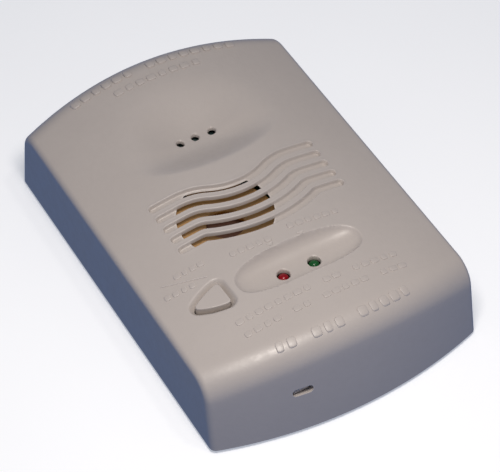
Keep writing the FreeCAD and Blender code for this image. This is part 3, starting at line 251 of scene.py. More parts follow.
def make_button_core():
    """Outline that gives the button's rounded outline when grown by the corner radius."""
    sides = [button_side(k) for k in range(3)]
    corners = [circle_meeting(sides[(k - 1) % 3], sides[k], np.array(BUTTON_CORNERS[k], float))
               for k in range(3)]
    arcs = []
    for k in range(3):
        centre, radius = sides[k]
        angle0, angle1 = (math.atan2(point[1] - centre[1], point[0] - centre[0])
                          for point in (corners[k], corners[(k + 1) % 3]))
        turn = (angle1 - angle0 + math.pi) % (2 * math.pi) - math.pi
        angle = angle0 + turn * np.linspace(0, 1, 24, endpoint=False)
        arcs.append(np.stack([centre[0] + radius * np.cos(angle),
                              centre[1] + radius * np.sin(angle)], 1))
    return np.concatenate(arcs)


BUTTON_CORE = make_button_core()


def outline_distance(points, outline):
    """Signed distance to a closed outline, + outside."""
    step = np.roll(outline, -1, axis=0) - outline
    offset = points[:, None, :] - outline[None]
    along = np.clip((offset * step[None]).sum(2) / (step ** 2).sum(1)[None], 0, 1)
    across = offset - along[..., None] * step[None]
    distance = np.sqrt((across ** 2).sum(2)).min(1)
    inside = np.zeros(len(points), bool)
    x, y = points[:, 0], points[:, 1]
    for k in range(len(outline)):
        x0, y0 = outline[k]
        x1, y1 = outline[(k + 1) % len(outline)]
        if abs(y1 - y0) < 1e-12:
            continue
        inside ^= ((y0 > y) != (y1 > y)) & (x < (x1 - x0) * (y - y0) / (y1 - y0) + x0)
    return np.where(inside, -distance, distance)


def button_distance(x, y):
    """Distance outside the button outline, measured only close to it."""
    distance = np.full(len(x), 50.0)
    near = (np.abs(x - BUTTON_CENTRE[0]) < 11) & (np.abs(y - BUTTON_CENTRE[1]) < 10)
    points = np.stack([x[near], y[near]], 1)
    distance[near] = outline_distance(points, BUTTON_CORE) - BUTTON.corner
    return distance


# ------------------------------------------------------------------ the whole face
def rim_drop(distance, radius):
    """How far a rounded hole edge sinks at a distance from the hole."""
    t = np.clip(1 - distance / radius, 0, 1)
    return radius * (1 - np.sqrt(np.maximum(1 - t * t, 0)))


def recess_z(x, y, grow=0.0):
    """Height of the light recess: a blunt-ended bowl with steep sides."""
    rho = (np.abs((x - RECESS.x) / (RECESS.half_length + grow)) ** RECESS.power
           + np.abs((y - RECESS.y) / (RECESS.half_width + grow)) ** RECESS.power)
    depth = RECESS.depth + grow + RECESS.above
    brim = crown_z(x) + RECESS.above
    return np.where(rho < 1, brim - depth * np.maximum(1 - rho, 0) ** RECESS.wall_power,
                    brim + (rho - 1) * RECESS.outer_slope)


def zone_distance(x, y):
    return np.hypot(x - OPEN_ZONE.x, y - OPEN_ZONE.y) - OPEN_ZONE.radius


def hole_mask(x, y):
    """Distance to the nearest hole edge, positive where there is plastic."""
    groove, side, which = groove_field(x, y)
    zone = zone_distance(x, y)
    slot = np.maximum(groove - GRILLE.half_slot, zone)
    first = np.maximum(np.abs(groove * side + FIRST_SLOT.offset) - FIRST_SLOT.half_width, zone)
    mask = np.where(which == 0, first, slot)
    for holes in (VENTS, LIGHTS):
        for cx, cy in holes.centres:
            mask = np.minimum(mask, np.hypot(x - cx, y - cy) - holes.radius)
    return np.minimum(mask, button_distance(x, y) - BUTTON.gap)


def sink_rims(x, y, z, holes):
    for cx, cy in holes.centres:
        z = z - rim_drop(np.hypot(x - cx, y - cy) - holes.radius, holes.rim)
    return z


def face_detail(x, y, base_z):
    """Outer height of the face with its grooves, recess and button surround."""
    z = sink_rims(x, y, base_z - groove_drop(groove_field(x, y)[0]), VENTS)
    fall = BUTTON.depth * (BUTTON.reach - button_distance(x, y)) / (BUTTON.reach - BUTTON.gap)
    z = smooth_min(z, z - fall, radius=0.16)
    z = smooth_min(z, recess_z(x, y), radius=0.42)
    return sink_rims(x, y, z, LIGHTS)


def face_under(x, y, base_z):
    """Inner height of the face: thin at grille and vents, low round the button."""
    thickness = WALL - 0.7 * within(zone_distance(x, y), edge=0.9, fade=0.6)
    thickness = thickness - 0.75 * within(np.hypot(x, y - VENT_RING_Y), edge=9.4, fade=0.8)
    z = smooth_min(base_z - thickness, recess_z(x, y, grow=1.5), radius=0.6)
    return z - 2.0 * within(button_distance(x, y), edge=3.6, fade=0.9)


# ------------------------------------------------------------------ cover: lines of the grid
# The grid's columns run across X. Its rows go up the -Y end wall, over the face and down the
# +Y end wall. The side walls are added later.
COARSE = 1.0
ROLL_START = math.radians(16.0)     # the side roll's first part belongs to the flat columns
ROLL_COLUMNS = 9
END_WALL_ROWS, END_ROLL_ROWS = 8, 12
END_ROWS = END_WALL_ROWS + END_ROLL_ROWS


def spaced(runs):
    """Line positions from (start, step) runs; the last run only gives the end."""
    lines = []
    for (start, step), (end, _) in zip(runs, runs[1:]):
        count = max(1, int(round((end - start) / step)))
        lines += [start + (end - start) * k / count for k in range(count)]
    lines.append(runs[-1][0])
    return np.array(lines)


FLAT_X = HALF_WIDTH - SIDE_ROLL * (1 - math.sin(ROLL_START))
side_roll = []                      # (x, drop below the face)
for k in range(1, ROLL_COLUMNS + 1):
    angle = ROLL_START + (math.pi / 2 - ROLL_START) * k / ROLL_COLUMNS
    side_roll.append((HALF_WIDTH - SIDE_ROLL + SIDE_ROLL * math.sin(angle),
                      SIDE_ROLL * (math.cos(ROLL_START) - math.cos(angle))))
flat_columns = spaced([(-FLAT_X, 0.7 * COARSE), (-34.0, 0.3 * COARSE), (27.5, 0.7 * COARSE),
                       (FLAT_X, 1)])
columns = [(-x, drop) for x, drop in reversed(side_roll)]
columns += [(x, 0.0) for x in flat_columns]
columns += side_roll
COLUMN_X = np.array([x for x, _ in columns])
COLUMN_DROP = np.array([drop for _, drop in columns])
COLUMNS = len(columns)

# distances of the rows to each side of a groove line
FINE_OFFSETS = [0.25, 0.6, 0.85, 1.0, 1.1, 1.2, 1.28, 1.38, 1.5, 1.7]
half_ladder = FINE_OFFSETS
ladder = [-offset for offset in reversed(half_ladder)] + half_ladder
GROOVE_REACH = 1.7
LOWEST_LINE = GRILLE.count - 1 + GROOVE_REACH / GRILLE.pitch
HIGHEST_LINE = -GROOVE_REACH / GRILLE.pitch
STRAIGHT_LOW, STRAIGHT_HIGH = -24.0, 11.5   # straight rows nearest the grille
STRETCH_FROM, FACE_END = 40, 52.0   # rows past 40 are stretched so that 52 meets the end roll
fades = np.linspace(0, 1, int(14 / COARSE) + 1)[1:-1]

# face rows as (kind, value), in order of rising y
face_rows = [("straight", y) for y in
             spaced([(-FACE_END, 0.7 * COARSE), (-39.5, 0.3 * COARSE), (STRAIGHT_LOW, 1)])]
face_rows += [("low fade", t) for t in fades]
for i in reversed(range(GRILLE.count)):
    face_rows += [("grille", i - offset / GRILLE.pitch) for offset in ladder]
    if i:
        face_rows.append(("grille", i - 0.5))
face_rows += [("high fade", t) for t in fades]
face_rows += [("straight", y) for y in
              spaced([(STRAIGHT_HIGH, 0.45 * COARSE), (33.0, 0.7 * COARSE), (FACE_END, 1)])]
FACE_ROWS = len(face_rows)


def face_row_y(kind, value, x, roll_y):
    if kind == "straight":
        beyond = np.abs(value) - STRETCH_FROM
        stretched = STRETCH_FROM + beyond * (roll_y - STRETCH_FROM) / (FACE_END - STRETCH_FROM)
        return np.where(beyond < 0, value, np.sign(value) * stretched)
    if kind == "grille":
        return wave_y(value, x)
    if kind == "low fade":
        return STRAIGHT_LOW * (1 - value) + wave_y(LOWEST_LINE, x) * value
    return wave_y(HIGHEST_LINE, x) * (1 - value) + STRAIGHT_HIGH * value


# ------------------------------------------------------------------ cover: plain grid
flat_x = np.clip(COLUMN_X, -FLAT_X, FLAT_X)
top, wall_y, roll_radius, roll_y, roll_z = end_profile(flat_x, COLUMN_DROP)
wall_top = roll_z + roll_radius * math.sin(END_DRAFT)
grid_y = np.zeros((COLUMNS, 2 * END_ROWS + FACE_ROWS))
grid_z = np.zeros_like(grid_y)


def set_end_rows(row, y, z):
    """Sets a row of the -Y end and its mirror at the +Y end."""
    grid_y[:, row], grid_y[:, -1 - row] = -y, y
    grid_z[:, row] = grid_z[:, -1 - row] = z


for k in range(END_WALL_ROWS):
    z = BASE_Z + (wall_top - BASE_Z) * k / END_WALL_ROWS
    set_end_rows(k, wall_y - z * END_SLOPE, z)
for k in range(END_ROLL_ROWS):
    angle = END_DRAFT + END_TURN * k / END_ROLL_ROWS
    set_end_rows(END_WALL_ROWS + k, roll_y + roll_radius * np.cos(angle),
                 roll_z + roll_radius * np.sin(angle))
drafted_x = COLUMN_X * (1 - top * SIDE_SLOPE / HALF_WIDTH)
for k, (kind, value) in enumerate(face_rows):
    y = face_row_y(kind, value, drafted_x, roll_y)
    grid_y[:, END_ROWS + k] = y
    grid_z[:, END_ROWS + k] = top - dish_depth(flat_x, y)
grid_x = COLUMN_X[:, None] * (1 - grid_z * SIDE_SLOPE / HALF_WIDTH)
plain = np.stack([grid_x, grid_y, grid_z], 2)

normals = np.cross(np.gradient(plain, axis=0), np.gradient(plain, axis=1))
normals /= np.linalg.norm(normals, axis=2, keepdims=True)
normals[0] = (-math.cos(SIDE_DRAFT), 0, math.sin(SIDE_DRAFT))
normals[-1] = (math.cos(SIDE_DRAFT), 0, math.sin(SIDE_DRAFT))

# ------------------------------------------------------------------ cover: outer and inner skins
FLAT_COLUMNS = slice(ROLL_COLUMNS, COLUMNS - ROLL_COLUMNS)
on_face = np.zeros(grid_y.shape, bool)
on_face[FLAT_COLUMNS, END_ROWS:END_ROWS + FACE_ROWS] = True
detailed = on_face & (np.abs(grid_y) < 44)
outer = plain.copy()
outer[..., 2][detailed] = face_detail(*plain[detailed].T)
inner = plain - normals * WALL
inner[:, [0, -1], 2] = BASE_Z
under = plain.copy()
under[..., 2][on_face] = face_under(*plain[on_face].T)
# share of the shaped underside, fading to the plain wall offset near the edges
share = within(np.abs(grid_x), edge=37.5, fade=3.0) * within(np.abs(grid_y), edge=46, fade=4.0)
share = (share * on_face)[..., None]
inner = inner * (1 - share) + under * share

mask = np.full(grid_y.shape, 9.0)
mask[detailed] = hole_mask(*plain[detailed].T[:2])
mask[np.abs(mask) < 0.012] = 0.0    # avoids slivers beside a hole edge


def release_distance(x, z):
    """Signed distance to the release slot, + outside."""
    across = np.abs(x - (RELEASE.x0 + RELEASE.x1) / 2)
    across = across - (RELEASE.x1 - RELEASE.x0) / 2 + RELEASE.radius
    up = np.abs(z - (RELEASE.z0 + RELEASE.z1) / 2)
    up = up - (RELEASE.z1 - RELEASE.z0) / 2 + RELEASE.radius
    return (np.hypot(np.maximum(across, 0), np.maximum(up, 0))
            + np.minimum(np.maximum(across, up), 0) - RELEASE.radius)


# rows of the -Y end wall that are divided to cut the release slot finely
row_z = grid_z[:, :END_WALL_ROWS].mean(0)
divisions = {j: int(7 / COARSE) for j in range(1, END_WALL_ROWS - 1)
             if row_z[j + 1] > RELEASE.z0 - 1.0 and row_z[j] < RELEASE.z1 + 0.6}


def divide_rows(grid):
    parts = []
    for j in range(grid.shape[1]):
        parts.append(grid[:, j])
        count = divisions.get(j, 1)
        parts += [grid[:, j] + (grid[:, j + 1] - grid[:, j]) * k / count
                  for k in range(1, count)]
    return np.stack(parts, 1)


outer, inner, plain, mask = (divide_rows(grid) for grid in (outer, inner, plain, mask))
ADDED_ROWS = sum(count - 1 for count in divisions.values())
ROWS = outer.shape[1]
FACE_START = END_ROWS + ADDED_ROWS  # first row of the face
slot_wall = np.zeros(mask.shape, bool)
slot_wall[FLAT_COLUMNS, :END_WALL_ROWS + ADDED_ROWS] = True
mask[slot_wall] = release_distance(outer[..., 0][slot_wall], outer[..., 2][slot_wall])

# ------------------------------------------------------------------ cover: faces cut at the holes
GRID_POINTS = COLUMNS * ROWS
cut_ids = {}
cut_outer, cut_inner, cut_plain, cut_on_face = [], [], [], []


def grid_id(column, row):
    return column * ROWS + row


def cut_id(inside, outside):
    """Index of the point where a grid edge, given by its two ends, meets a hole."""
    if (inside, outside) not in cut_ids:
        cut_ids[inside, outside] = GRID_POINTS + len(cut_outer)
        t = mask[inside] / (mask[inside] - mask[outside])
        for grid, points in ((outer, cut_outer), (inner, cut_inner), (plain, cut_plain)):
            points.append(grid[inside] * (1 - t) + grid[outside] * t)
        cut_on_face.append(inside[1] >= FACE_START)
    return cut_ids[inside, outside]


solid = mask > 1e-9
quarters = (solid[:-1, :-1], solid[1:, :-1], solid[1:, 1:], solid[:-1, 1:])
whole = np.logical_and.reduce(quarters)
partial = np.logical_or.reduce(quarters) & ~whole
cells = [(grid_id(i, j), grid_id(i + 1, j), grid_id(i + 1, j + 1), grid_id(i, j + 1))
         for i, j in np.argwhere(whole).tolist()]
cut_cells, hole_edges = [], []
for i, j in np.argwhere(partial).tolist():
    corners = [(i, j), (i + 1, j), (i + 1, j + 1), (i, j + 1)]
    cell = []
    for here, there in zip(corners, corners[1:] + corners[:1]):
        if solid[here]:
            cell.append(grid_id(*here))
        if solid[here] != solid[there]:
            cell.append(cut_id(here, there) if solid[here] else cut_id(there, here))
    if len(cell) >= 3:
        cut_cells.append(cell)
        hole_edges += [(a, b) for a, b in zip(cell, cell[1:] + cell[:1])
                       if a >= GRID_POINTS and b >= GRID_POINTS]

# the cut points of the face are put exactly on its two surfaces
cut_outer, cut_inner = np.array(cut_outer), np.array(cut_inner)
cut_on_face = np.array(cut_on_face)
cut_base = np.array(cut_plain)[cut_on_face].T
cut_outer[cut_on_face, 2] = face_detail(*cut_base)
cut_inner[cut_on_face, 2] = face_under(*cut_base)

# ------------------------------------------------------------------ cover: side walls
# Each joins the -Y and +Y halves of the first or last column, row by row.
FIRST_SIDE_POINT = GRID_POINTS + len(cut_outer)
SIDE_COLUMNS = (0, COLUMNS - 1)
side_outer = []


def side_id(x, y, z):
    side_outer.append((x, y, z))
    return FIRST_SIDE_POINT + len(side_outer) - 1


middle_ids = {}
for column in SIDE_COLUMNS:
    face_y = outer[column, FACE_START:FACE_START + FACE_ROWS, 1]
    fractions = (face_y - face_y[0]) / (face_y[-1] - face_y[0])
    for row in range(FACE_START):
        x, y, z = outer[column, row]
        middle_ids[column, row] = [side_id(x, y + (-y - y) * t, z) for t in fractions[1:-1]]

# the +Y end has no added rows, so those get mirrored points of their own
mirror_rows = {}
row = 0
for j in range(END_ROWS):
    mirror_rows[row] = ROWS - 1 - j
    row += divisions.get(j, 1)
far_ids = {}
for column in SIDE_COLUMNS:
    for row in range(FACE_START):
        if row in mirror_rows:
            far_ids[column, row] = grid_id(column, mirror_rows[row])
        else:
            x, y, z = outer[column, row]
            far_ids[column, row] = side_id(x, -y, z)


def side_row(column, row):
    if row == FACE_START:
        return [grid_id(column, FACE_START + k) for k in range(FACE_ROWS)]
    return [grid_id(column, row)] + middle_ids[column, row] + [far_ids[column, row]]


side_outer = np.array(side_outer)
outward = np.where(side_outer[:, :1] < 0, -1, 1)
side_inner = (side_outer - outward * np.array([[math.cos(SIDE_DRAFT), 0, 0]]) * WALL
              - np.array([[0, 0, math.sin(SIDE_DRAFT)]]) * WALL)
side_inner[side_outer[:, 2] < BASE_Z + 1e-6, 2] = BASE_Z

# ------------------------------------------------------------------ cover: all faces
# every outer point has its inner twin at the same place in the second half of the list
cover_points = np.concatenate([outer.reshape(-1, 3), cut_outer, side_outer,
                               inner.reshape(-1, 3), cut_inner, side_inner])
TWIN = FIRST_SIDE_POINT + len(side_outer)


def twin_face(face):
    return tuple(k + TWIN for k in reversed(face))


def joining_face(a, b):
    """A face between an outer edge and its inner twin."""
    return (a, b, b + TWIN, a + TWIN)


faces = cells + [twin_face(cell) for cell in cells]
for cell in cut_cells:
    faces += [tuple(cell), twin_face(cell)]
faces += [joining_face(b, a) for a, b in hole_edges]
for column in SIDE_COLUMNS:
    for row in range(FACE_START):
        lower, upper = side_row(column, row), side_row(column, row + 1)
        for k in range(FACE_ROWS - 1):
            face = (lower[k], lower[k + 1], upper[k + 1], upper[k])
            if column == 0:
                face = face[::-1]
            faces += [face, twin_face(face)]
for row in (0, ROWS - 1):
    faces += [joining_face(grid_id(i, row), grid_id(i + 1, row)) for i in range(COLUMNS - 1)]
for column in SIDE_COLUMNS:
    bottom = side_row(column, 0)
    faces += [joining_face(a, b) for a, b in zip(bottom, bottom[1:])]


def shade_smooth(mesh, sharp_degrees):
    for polygon in mesh.polygons:
        polygon.use_smooth = True
    mesh.set_sharp_from_angle(angle=math.radians(sharp_degrees))


def mesh_object(name, points, faces, weld=1e-7, sharp_degrees=38.0):
    """Makes a closed, smooth-shaded object from points in millimetres."""
    mesh = bpy.data.meshes.new(name)
    mesh.from_pydata([tuple(c * MM for c in point) for point in points], [], faces)
    bm = bmesh.new()
    bm.from_mesh(mesh)
    bmesh.ops.remove_doubles(bm, verts=bm.verts, dist=weld)
    bmesh.ops.dissolve_degenerate(bm, edges=bm.edges, dist=1e-8)
    # close any hair-thin gap left where two walls meet at a corner
    gaps = [e for e in bm.edges if len(e.link_faces) == 1]
    if gaps:
        gap_points = list({v for e in gaps for v in e.verts})
        bmesh.ops.remove_doubles(bm, verts=gap_points, dist=4e-5)
        gaps = [e for e in bm.edges if len(e.link_faces) == 1]
        if gaps:
            bmesh.ops.holes_fill(bm, edges=gaps, sides=12)
    loose = [v for v in bm.verts if not v.link_faces]
    bmesh.ops.delete(bm, geom=loose, context="VERTS")
    bmesh.ops.recalc_face_normals(bm, faces=bm.faces)
    bm.to_mesh(mesh)
    bm.free()
    mesh.update()
    ob = bpy.data.objects.new(name, mesh)
    bpy.context.scene.collection.objects.link(ob)
    shade_smooth(mesh, sharp_degrees)
    return ob


cover = mesh_object("cover_shell", cover_points, faces, weld=2e-6)
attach(cover, "detector")
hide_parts("front_cover")


# ------------------------------------------------------------------ bosses inside the cover
class Solid:
    """Collects closed shapes into one mesh."""

    def __init__(self):
        self.points, self.faces = [], []

    def loft(self, rings, closed=False):
        """Skins a run of rings, joined end to end if closed and capped if not."""
        first, size = len(self.points), len(rings[0])
        for ring in rings:
            self.points += ring
        for i in range(len(rings) if closed else len(rings) - 1):
            here = first + i * size
            there = first + (i + 1) % len(rings) * size
            for k in range(size):
                after = (k + 1) % size
                self.faces.append((here + k, here + after, there + after, there + k))
        if not closed:
            last = first + (len(rings) - 1) * size
            self.faces.append(tuple(reversed(range(first, first + size))))
            self.faces.append(tuple(range(last, last + size)))


def under_skin(x, y):
    """A height just inside the thickness of the face."""
    x, y = np.array([x]), np.array([y])
    return float(face_under(x, y, crown_z(x) - dish_depth(x, y))[0]) + 0.4


def add_tube(solid, cx, cy, bore, radius, bottom, segments=48, bevel=0.15):
    """A tube hanging from the face, with its lower edges bevelled."""
    rings = []
    for k in range(segments):
        angle = 2 * math.pi * k / segments
        # (radius, z) round the section; None is the underside of the face
        section = [(bore, bottom + bevel), (bore + bevel, bottom), (radius - bevel, bottom),
                   (radius, bottom + bevel), (radius, None), (bore, None)]
        ring = []
        for r, z in section:
            x, y = cx + r * math.cos(angle), cy + r * math.sin(angle)
            ring.append((x, y, under_skin(x, y) if z is None else z))
        rings.append(ring)
    solid.loft(rings, closed=True)


def add_hinge_socket(solid, x0, x1):
    """A block with a round seat that a hook nose turns in."""
    y, z = 61.0, 3.2                # axis of the seat
    radius, below, beyond, height = 1.25, 2.2, 2.4, 3.6
    outline = [(y - below, z)]
    outline += [(y + radius * math.cos(angle), z + radius * math.sin(angle))
                for angle in np.linspace(math.pi, 0, 13)]
    outline += [(y + beyond, z), (y + beyond, z + height), (y - below, z + height)]
    solid.loft([[(x, *point) for point in outline] for x in (x0, x1)])


bosses = Solid()
for x in (-34.0, 34.0):
    for y in (-44.0, 44.0):
        add_tube(bosses, x, y, bore=1.3, radius=3.0, bottom=8.0)
add_tube(bosses, 0.0, VENT_RING_Y, bore=10.1, radius=11.4, bottom=18.6, segments=72)
for x0, x1 in ((-9.0, -2.6), (2.6, 9.0)):
    add_hinge_socket(bosses, x0, x1)
bosses = mesh_object("cover_bosses", bosses.points, bosses.faces)
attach(bosses, "detector")


# ------------------------------------------------------------------ raised marks on the face
def skin_z(x, y):
    """Outer height of the plain cover, end rolls included."""
    x = x / (1 - float(crown_z(x)) * SIDE_SLOPE / HALF_WIDTH)
    top, _, radius, roll_y, roll_z = (float(value) for value in end_profile(x))
    if abs(y) <= roll_y:
        return top - float(dish_depth(np.array([x]), np.array([y]))[0])
    t = min(1.0, (abs(y) - roll_y) / radius)
    return roll_z + radius * math.sqrt(max(0.0, 1 - t * t))


def add_ridge(solid, start, end, height, width):
    """A low rounded ridge with tapered ends between two (x, y) points on the face."""
    ends = np.array([start, end], float)
    length = np.hypot(*(ends[1] - ends[0]))
    stations = np.linspace(0, length, max(4, int(length / 0.35)))
    path = np.stack([np.interp(stations, [0, length], ends[:, axis]) for axis in (0, 1)], 1)
    along = np.gradient(path, axis=0)
    along /= np.maximum(np.hypot(along[:, 0], along[:, 1])[:, None], 1e-9)
    across = np.stack([-along[:, 1], along[:, 0]], 1)
    half = width / 2
    # (offset, height) of one half of the section, from the buried foot to the shoulder
    flank = [(half, -0.25), (half, 0.0), (half * 0.86, height * 0.62),
             (half * 0.55, height * 0.95)]
    section = [(-offset, z) for offset, z in flank] + [(0, height)] + flank[::-1]
    taper = (88, 62, 36, 12)        # degrees round each end cap

    def cap_ring(k, sign, degrees):
        reach = half * math.sin(math.radians(degrees))
        return path[k] + sign * along[k] * reach, across[k], math.sin(math.radians(90 - degrees))

    stops = [cap_ring(0, -1, degrees) for degrees in taper]
    stops += [(point, normal, 1.0) for point, normal in zip(path, across)]
    stops += [cap_ring(-1, 1, degrees) for degrees in reversed(taper)]
    rings = []
    for centre, normal, scale in stops:
        lift = 0.25 + 0.75 * min(1.0, scale * 1.25)
        ring = []
        for offset, z in section:
            x, y = centre + normal * offset * scale
            ring.append((x, y, skin_z(x, y) + (z if z < 0 else z * lift)))
        rings.append(ring)
    solid.loft(rings)


def add_pad(solid, cx, cy, half_width, half_height, tilt, height, segments=20, power=4.6):
    """A low pad with a rounded-rectangle outline and a softened top edge."""
    cos_tilt, sin_tilt = math.cos(tilt), math.sin(tilt)
    # (outline scale, height over the skin), from the buried foot to the top
    levels = [(1.0, -0.3), (1.0, 0.02), (0.97, height * 0.62), (0.9, height * 0.9),
              (0.78, height)]
    rings = []
    for scale, lift in levels:
        inset = (1 - scale) * min(half_width, half_height)
        ring = []
        for k in range(segments):
            angle = 2 * math.pi * (k + 0.5) / segments
            cos, sin = math.cos(angle), math.sin(angle)
            r = (abs(cos) ** power + abs(sin) ** power) ** (-1 / power)
            across = (half_width - inset) * r * cos
            up = (half_height - inset) * r * sin
            x = cx + across * cos_tilt - up * sin_tilt
            y = cy + across * sin_tilt + up * cos_tilt
            ring.append((x, y, skin_z(x, y) + lift))
        rings.append(ring)
    solid.loft(rings)


def add_pad_row(solid, x0, x1, base_y, slope, curve, groups, height, lift, first):
    """Groups of small pads on a line, standing in for moulded lettering."""
    group_gap = 1.1                                 # in pad spacings
    half_widths = (0.36, 0.40, 0.30)                # taken in turn, in pad spacings

    def line_y(x):
        return base_y + slope * (x - x0) + curve * x * x

    spacing = (x1 - x0) / (sum(groups) + group_gap * (len(groups) - 1))
    position, k = 0.0, first
    for count in groups:
        for _ in range(count):
            x = x0 + (position + 0.5) * spacing
            tilt = math.atan2(line_y(x + 0.1) - line_y(x - 0.1), 0.2)
            add_pad(solid, x, line_y(x) + height * 0.42, spacing * half_widths[k % 3],
                    height * 0.35, tilt, lift)
            position += 1.0
            k += 1
        position += group_gap


# x start, x end, y, slope from x start, curve in x squared, pads in each group,
# row height, lift over the skin, place in the cycle of pad widths to start from
PAD_ROWS = [
    (-27.0, 27.5, 53.0, 0, -0.0034, [6, 8], 4.0, 0.48, 0),
    (-14.5, 14.5, 48.3, 0, -0.0028, [8], 3.2, 0.40, 1),
    (-15.8, -2.6, -22.3, -0.06, 0, [5], 2.6, 0.24, 2),
    (2.6, 18.9, -21.6, -0.06, 0, [6], 2.6, 0.24, 0),
    (-31.7, -22.2, -20.0, -0.03, 0, [4], 2.5, 0.24, 1),
    (-37.0, -27.3, -24.4, -0.095, 0, [4], 2.5, 0.24, 3),
    (-25.5, 25.0, -43.3, 0, 0, [8, 2, 5], 2.6, 0.24, 1),
    (-25.5, 25.0, -48.0, 0, 0, [4, 2, 5, 3], 2.6, 0.24, 0),
    (-21.0, 21.0, -57.9, 0, 0.0036, [2, 3, 5], 4.0, 0.32, 2),
]
marks = Solid()
for row in PAD_ROWS:
    add_pad_row(marks, *row)
add_ridge(marks, (-35.4, -19.3), (-24.0, -23.85), height=0.26, width=0.5)
# two arrowheads pointing to -Y, each of three shortening ridges
for x, y in ((-4.2, -23.8), (5.0, -24.3)):
    for k in range(3):
        half = 0.8 - 0.28 * k
        ridge_y = y + 0.4 - 0.38 * k
        add_ridge(marks, (x - half, ridge_y), (x + half, ridge_y), height=0.24, width=0.44)
relief = mesh_object("cover_marks", marks.points, marks.faces, sharp_degrees=60)
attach(relief, "detector")

# ------------------------------------------------------------------ shader helpers
MATERIALS = {}


def rgba(colour):
    return (*colour, 1)


def set_inputs(tree, node, inputs):
    """Each input is given a value, or an output socket to be linked from."""
    for key, value in inputs.items():
        if isinstance(value, bpy.types.NodeSocket):
            tree.links.new(value, node.inputs[key])
        else:
            node.inputs[key].default_value = value


def add_node(tree, kind, inputs, **settings):
    node = tree.nodes.new("ShaderNode" + kind)
    for key, value in settings.items():
        setattr(node, key, value)
    set_inputs(tree, node, inputs)
    return node


def new_material(name):
    material = bpy.data.materials.new(name)
    material.use_nodes = True
    tree = material.node_tree
    tree.nodes.clear()
    output = add_node(tree, "OutputMaterial", {})
    shader = add_node(tree, "BsdfPrincipled", {})
    tree.links.new(shader.outputs[0], output.inputs[0])
    MATERIALS[name] = material
    return material, tree, shader


def object_coords(tree):
    """The tree's one coordinate node, made when first asked for."""
    node = tree.nodes.get("tc") or add_node(tree, "TexCoord", {}, name="tc")
    return node.outputs["Object"]


def noise(tree, scale, detail=3.0, roughness=0.5, distortion=0.0):
    return add_node(tree, "TexNoise", {
        "Scale": scale, "Detail": detail, "Roughness": roughness, "Distortion": distortion,
        "Vector": object_coords(tree)}).outputs["Fac"]


def ramp(tree, source, stops):
    """Colour ramp from (position, colour) stops."""
    node = add_node(tree, "ValToRGB", {0: source})
    elements = node.color_ramp.elements
    for element, (position, colour) in zip(elements, (stops[0], stops[-1])):
        element.position = position
        element.color = rgba(colour)
    for position, colour in stops[1:-1]:
        elements.new(position).color = rgba(colour)
    return node.outputs[0]


def map_range(tree, source, low, high, start=0.0, end=1.0):
    """Maps start..end to low..high."""
    return add_node(tree, "MapRange", {
        "From Min": start, "From Max": end, "To Min": low, "To Max": high,
        "Value": source}).outputs[0]


def calculate(tree, operation, a, b):
    return add_node(tree, "Math", {0: a, 1: b}, operation=operation).outputs[0]


def bevel_normal(tree, radius):
    return add_node(tree, "Bevel", {"Radius": radius}, samples=4).outputs[0]


def bump(tree, shader, height, strength, distance, bevel=0.0):
    node = add_node(tree, "Bump", {"Strength": strength, "Distance": distance, "Height": height})
    if bevel:
        set_inputs(tree, node, {"Normal": bevel_normal(tree, bevel)})
    set_inputs(tree, shader, {"Normal": node.outputs[0]})


def mix_colour(tree, factor, a, b):
    return add_node(tree, "Mix", {0: factor, 6: a, 7: b}, data_type="RGBA").outputs[2]


# ------------------------------------------------------------------ kinds of material
def moulded(name, colour, dark, rough, grain, grain_height=0.00002, grain_strength=0.2,
            edge_wear_and_highlight=None, bevel=0.0, specular=0.5, corner_shade=0.25, glow=None):
    """Moulded plastic: mottling, fine grain, painted shade in corners and lightened edges.

    grain is a texture scale; the edge colour gives rubbed wear and painted rim highlights; the
    corner share is the most painted shade.
    """
    _, tree, shader = new_material(name)
    broad = noise(tree, scale=38.0, detail=4.0, roughness=0.55)
    mottle = noise(tree, scale=420.0, detail=3.0, roughness=0.6)
    fine = noise(tree, scale=grain, detail=2.0, roughness=0.55)
    cells = add_node(tree, "TexVoronoi", {"Scale": grain * 0.55, "Vector": object_coords(tree)})
    surface = ramp(tree, broad, [(0.3, dark), (0.7, colour)])
    surface = mix_colour(tree, map_range(tree, mottle, low=0.0, high=0.28, start=0.4, end=0.75),
                         surface, rgba(c * 0.9 for c in colour))
    # painted shade: corners and creases darkened by occlusion, with a dusty yellow tint
    corner_shade_tint = (0.62, 0.58, 0.5)
    corners = add_node(tree, "AmbientOcclusion", {"Distance": 0.0025}, samples=4).outputs["AO"]
    surface = mix_colour(tree, map_range(tree, corners, low=corner_shade, high=0.0, start=0.25, end=0.8),
                         surface, rgba(c * tint for c, tint in zip(colour, corner_shade_tint)))
    if edge_wear_and_highlight is not None:
        # edges lightened: rubbed wear, and on the cover a painted highlight along the rims
        # an edge is where the true normal departs from a rounded one
        geometry = add_node(tree, "NewGeometry", {})
        agreement = add_node(tree, "VectorMath", {
            0: geometry.outputs["Normal"], 1: bevel_normal(tree, 0.0006)},
            operation="DOT_PRODUCT").outputs["Value"]
        edges = map_range(tree, agreement, low=0.5, high=0.0, start=0.72, end=0.97)
        patches = map_range(tree, mottle, low=0.35, high=1.0, start=0.38, end=0.58)
        surface = mix_colour(tree, calculate(tree, "MULTIPLY", edges, patches), surface,
                             rgba(edge_wear_and_highlight))
    roughness = calculate(
        tree, "ADD", map_range(tree, mottle, low=-0.06, high=0.06, start=0.3, end=0.7),
        map_range(tree, broad, low=rough - 0.05, high=rough + 0.05, start=0.3, end=0.7))
    fine_share, cell_share = 0.7, 0.5
    height = calculate(tree, "ADD", calculate(tree, "MULTIPLY", fine, fine_share),
                       calculate(tree, "MULTIPLY", cells.outputs["Distance"], cell_share))
    bump(tree, shader, height, grain_strength, grain_height, bevel)
    set_inputs(tree, shader, {"Base Color": surface, "Roughness": roughness,
                              "Specular IOR Level": specular})
    # painted light: a faint emission brightens the part where it lies in shade
    if glow:
        set_inputs(tree, shader, {"Emission Color": rgba(glow), "Emission Strength": 0.15})


